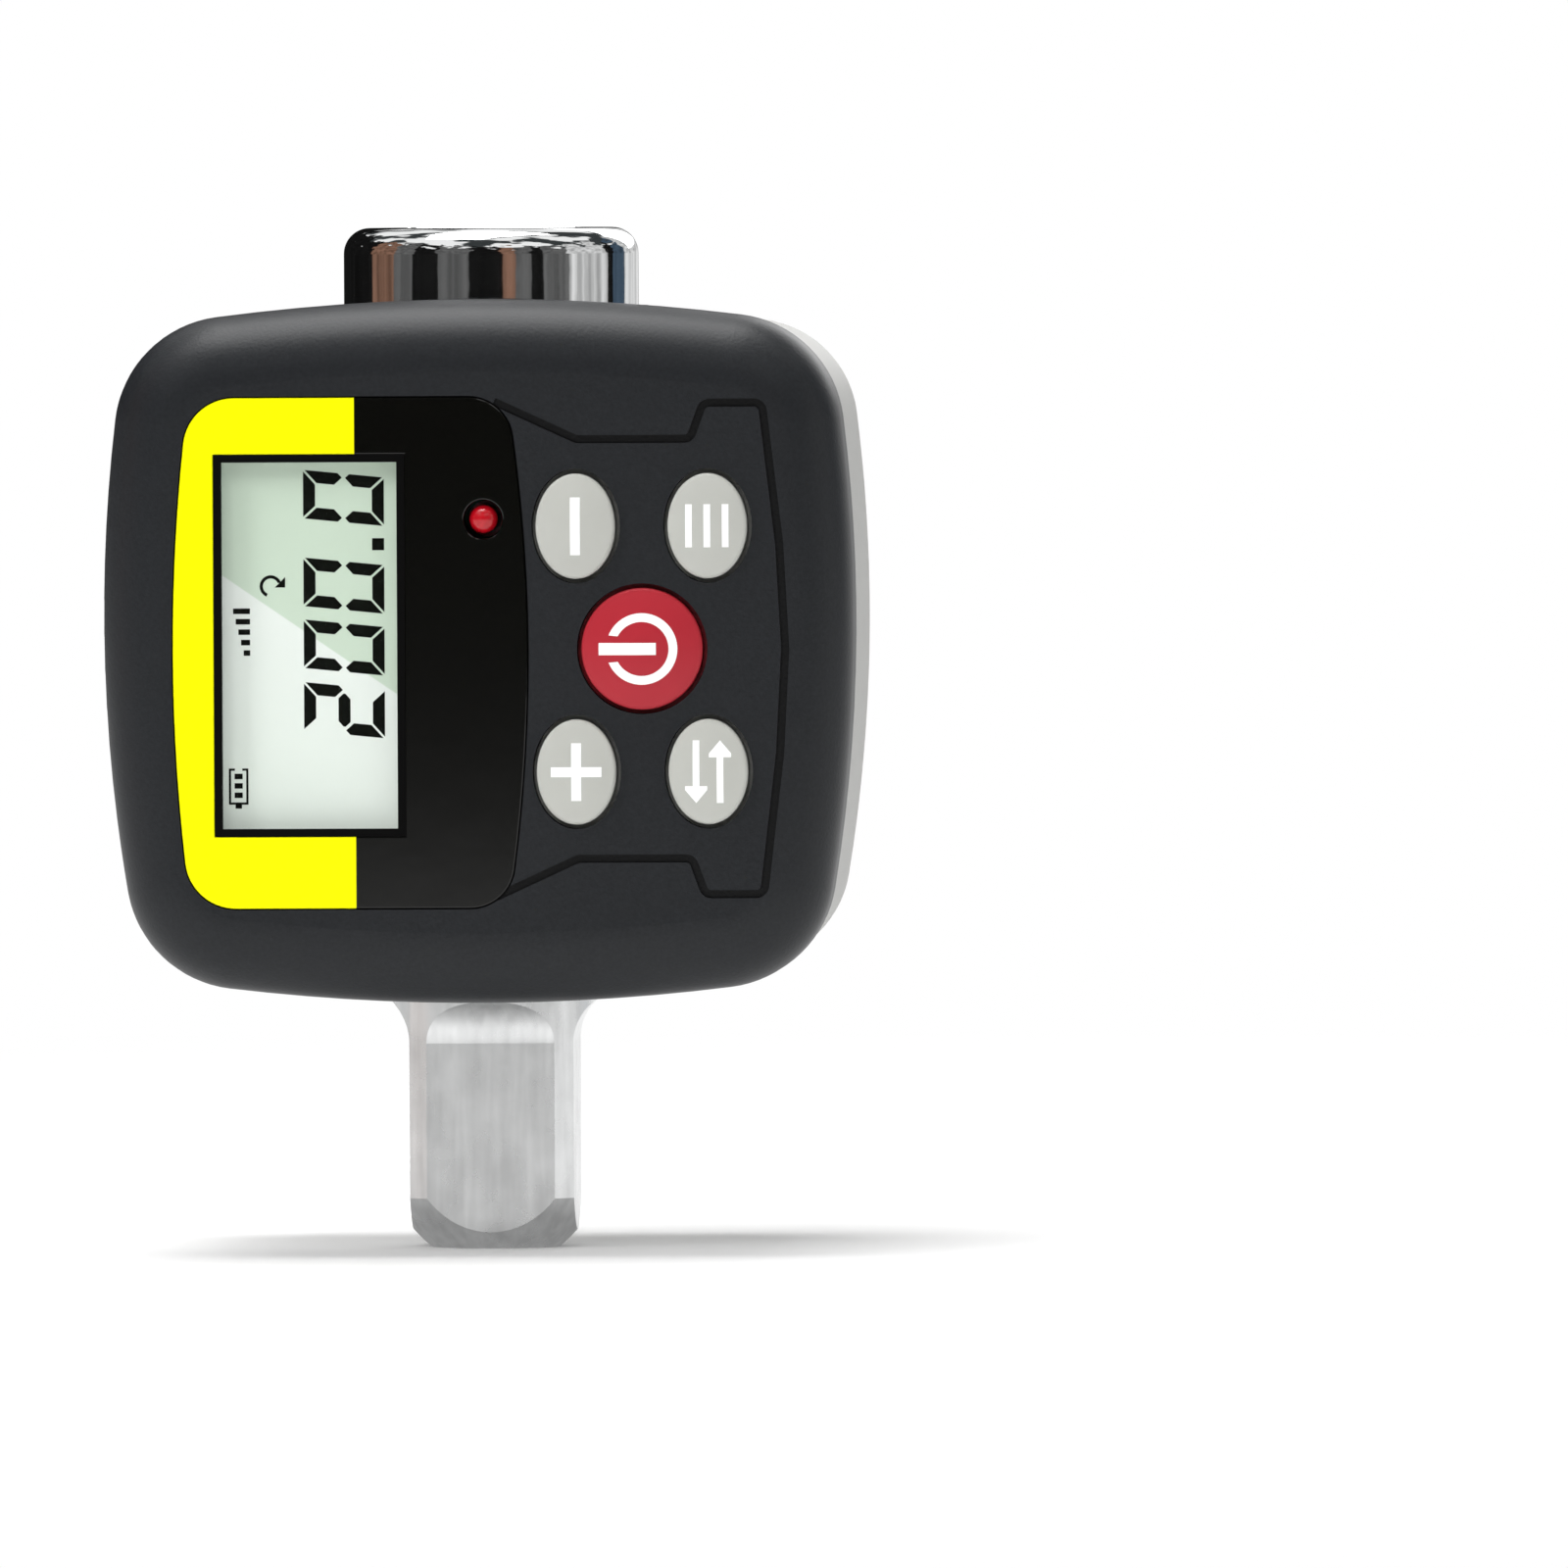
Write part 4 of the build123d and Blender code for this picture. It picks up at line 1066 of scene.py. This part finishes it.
def make_camera(scene, settings):
    """A long lens at the photograph's angle."""
    azimuth, elevation = settings.azimuth, settings.elevation
    aim = Vector((settings.aim_x, 0, settings.aim_z))
    back = Vector(
        (
            math.sin(azimuth) * math.cos(elevation),
            -math.cos(azimuth) * math.cos(elevation),
            math.sin(elevation),
        )
    )
    lens = bpy.data.cameras.new("camera")
    lens.sensor_width = 36
    lens.lens = lens.sensor_width * settings.distance / settings.frame_width
    lens.clip_start, lens.clip_end = 0.05, 20
    camera = bpy.data.objects.new("camera", lens)
    camera.location = aim + back * settings.distance
    level = (-back).to_track_quat("-Z", "Y")
    camera.rotation_euler = (level @ Quaternion((0, 0, 1), -settings.roll)).to_euler()
    scene.collection.objects.link(camera)
    scene.camera = camera


class ADAPTER_OT_shaft(bpy.types.Operator):
    """Finishes the steel shaft and what is carried in and on it"""

    bl_idname = "adapter.shaft"
    bl_label = "Shaft"

    def execute(self, context):
        give("torque_shaft", plated_steel(context.scene.adapter_finish.chrome))
        give("detent_ball", bearing_steel())
        coil = merged_copy("detent_spring", "detent_coil")
        finished(coil, spring_steel(), "case")
        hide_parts("detent_spring")
        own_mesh(coil)
        give("retaining_clip", spring_steel())
        give("shaft_set_screw", black_oxide_steel())
        for node in ("upper_bush", "lower_bush"):
            give(node, black_acetal())
        for node in ("strain_gauges", "sensor_lead"):
            give(node, amber_film())
        return {"FINISHED"}


class ADAPTER_OT_shells(bpy.types.Operator):
    """Finishes the two shells, the door and the gasket"""

    bl_idname = "adapter.shells"
    bl_label = "Shells"

    def execute(self, context):
        colours = context.scene.adapter_finish
        charcoal = textured_abs("charcoal textured ABS", colours.cover, 0.42, 0.3)
        tree = charcoal.node_tree
        shaded_recesses(tree, tree.nodes["Principled BSDF"], colours.cover)
        give("front_cover", charcoal)
        grey = textured_abs("grey textured ABS", colours.case, 0.5, 0.05)
        give("rear_case", grey)
        give("battery_door", grey)
        give("case_seal", silicone_rubber("black silicone rubber", "#161616"))
        return {"FINISHED"}


class ADAPTER_OT_face_plate(bpy.types.Operator):
    """Makes the face plate with its yellow print ending in a straight line"""

    bl_idname = "adapter.face_plate"
    bl_label = "Face plate"

    def execute(self, context):
        colours = context.scene.adapter_finish
        plate = merged_copy("display_bezel", "face_plate")
        pick(plate)
        start_edit()
        bpy.ops.mesh.bisect(plane_co=(BORDER_END_X, 0, 0), plane_no=(1, 0, 0))
        end_edit()
        slots = plate.data.materials
        slots.clear()
        slots.append(printed_acrylic("black print under acrylic", colours.plate, 0.09, 0.5))
        slots.append(printed_acrylic("yellow print under acrylic", colours.border, 0.3, 0.1))
        for face in plate.data.polygons:
            face.material_index = int(face.center.x < BORDER_END_X)
        apply_modifier(
            plate,
            "BEVEL",
            width=0.12 * MM,
            segments=2,
            limit_method="ANGLE",
            angle_limit=math.radians(60),
        )
        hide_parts("display_bezel")
        finished(plate, None, "case")
        return {"FINISHED"}


class ADAPTER_OT_display(bpy.types.Operator):
    """Finishes window and display, and makes the dark segments"""

    bl_idname = "adapter.display"
    bl_label = "Display"

    def execute(self, context):
        colours = context.scene.adapter_finish
        sizes = context.scene.adapter_display
        give("window_frame", black_frame())
        give("display_window", clear_acrylic())
        give("lcd_glass", display_film(colours.film_green, colours.film_with_painted_reflection))
        ink = display_ink(colours.ink)
        strokes = digit_strokes(sizes.digit_width, sizes.digit_height, sizes.stroke, sizes.gap)
        for number, (figure, start) in enumerate(READING):
            parts = [copy_of(strokes[letter], "stroke") for letter in SEVEN_SEGMENTS[figure]]
            digit = joined(parts, f"display_digit_{number + 1}")
            laid_on_display(digit, DIGIT_FOOT_X, CASE_MID_Z + start * MM, sizes.slant)
            finished(digit, ink, "case")
        for stroke in strokes.values():
            bpy.data.objects.remove(stroke)
        side = sizes.stroke
        point = flat_bar(side, side, side / 2, side / 2, 0)
        point.name = "display_point"
        laid_on_display(point, DIGIT_FOOT_X, CASE_MID_Z + POINT_START * MM, 0)
        finished(point, ink, "case")
        for sign in (battery_sign, level_sign, turning_sign):
            finished(sign(), ink, "case")
        return {"FINISHED"}


class ADAPTER_OT_lamp(bpy.types.Operator):
    """Finishes the alarm lamp"""

    bl_idname = "adapter.lamp"
    bl_label = "Alarm lamp"

    def execute(self, context):
        give("alarm_led", red_epoxy(context.scene.adapter_finish.lamp))
        return {"FINISHED"}


class ADAPTER_OT_buttons(bpy.types.Operator):
    """Finishes the five buttons and prints their symbols"""

    bl_idname = "adapter.buttons"
    bl_label = "Buttons"

    def execute(self, context):
        colours = context.scene.adapter_finish
        sizes = context.scene.adapter_symbol
        pale = satin_abs("pale satin ABS", colours.key, 0.36)
        for name in ("minus", "mode", "plus", "unit"):
            give(f"button_{name}", pale)
        give("button_power", satin_abs("red satin ABS", colours.power, 0.4))
        ink = pad_print(colours.symbol)
        drawn = {
            "minus": minus_sign(sizes),
            "plus": plus_sign(sizes),
            "mode": list_sign(sizes),
            "unit": exchange_sign(sizes),
            "power": power_sign(sizes),
        }
        for name, symbol in drawn.items():
            printed_on(symbol, f"button_{name}")
            symbol.name = f"symbol_{name}"
            finished(symbol, ink, f"{name}_key")
        return {"FINISHED"}


class ADAPTER_OT_inside(bpy.types.Operator):
    """Finishes board, display holder, cells, contacts and screws"""

    bl_idname = "adapter.inside"
    bl_label = "Inside"

    def execute(self, context):
        give("circuit_board", solder_mask())
        for node in ("board_chips", "buzzer"):
            give(node, moulded_epoxy())
        give("lcd_holder", satin_abs("white ABS", linear("#D8D8D3"), 0.45))
        give("contact_strips", silicone_rubber("black silicone rubber, strips", "#1A1A1A"))
        give("keypad_membrane", silicone_rubber("grey silicone rubber", "#6E6E6E"))
        for node in ("battery_upper", "battery_lower"):
            give(node, cell_jacket(node))
        for node in ("contact_bridge", "contact_positive", "contact_negative", "battery_springs"):
            give(node, nickel_plate())
        give("battery_leads", wire_cover())
        for node in ("case_screws", "board_screws"):
            give(node, zinc_plate())
        return {"FINISHED"}


class ADAPTER_OT_stage(bpy.types.Operator):
    """Sets up floor, light, surround and camera"""

    bl_idname = "adapter.stage"
    bl_label = "Stage"

    def execute(self, context):
        settings = context.scene.adapter_stage
        make_floor()
        make_world(context.scene)
        make_lamps()
        make_surround()
        make_camera(context.scene, settings)
        context.scene.view_settings.view_transform = "Standard"
        return {"FINISHED"}


class ADAPTER_PT_panel(bpy.types.Panel):
    """Lists what this add-on makes, with its sizes and colours"""

    bl_label = "Torque adapter"
    bl_idname = "ADAPTER_PT_panel"
    bl_space_type = "VIEW_3D"
    bl_region_type = "UI"
    bl_category = "Torque adapter"

    def draw(self, context):
        layout = self.layout
        for operator in OPERATORS:
            layout.operator(operator.bl_idname)
        for place, group in SETTINGS.items():
            layout.label(text=group.__doc__)
            for name in group.__annotations__:
                layout.prop(getattr(context.scene, place), name)


OPERATORS = [
    ADAPTER_OT_shaft,
    ADAPTER_OT_shells,
    ADAPTER_OT_face_plate,
    ADAPTER_OT_display,
    ADAPTER_OT_lamp,
    ADAPTER_OT_buttons,
    ADAPTER_OT_inside,
    ADAPTER_OT_stage,
]
SETTINGS = {
    "adapter_finish": FinishSettings,
    "adapter_display": DisplaySettings,
    "adapter_symbol": SymbolSettings,
    "adapter_stage": StageSettings,
}


def register():
    for group in SETTINGS.values():
        bpy.utils.register_class(group)
    for place, group in SETTINGS.items():
        setattr(bpy.types.Scene, place, PointerProperty(type=group))
    for operator in OPERATORS:
        bpy.utils.register_class(operator)
    bpy.utils.register_class(ADAPTER_PT_panel)


def unregister():
    bpy.utils.unregister_class(ADAPTER_PT_panel)
    for operator in reversed(OPERATORS):
        bpy.utils.unregister_class(operator)
    for place in SETTINGS:
        delattr(bpy.types.Scene, place)
    for group in reversed(SETTINGS.values()):
        bpy.utils.unregister_class(group)


def main():
    register()
    for operator in OPERATORS:
        group, name = operator.bl_idname.split(".")
        getattr(getattr(bpy.ops, group), name)()


if __name__ == "__main__":
    main()
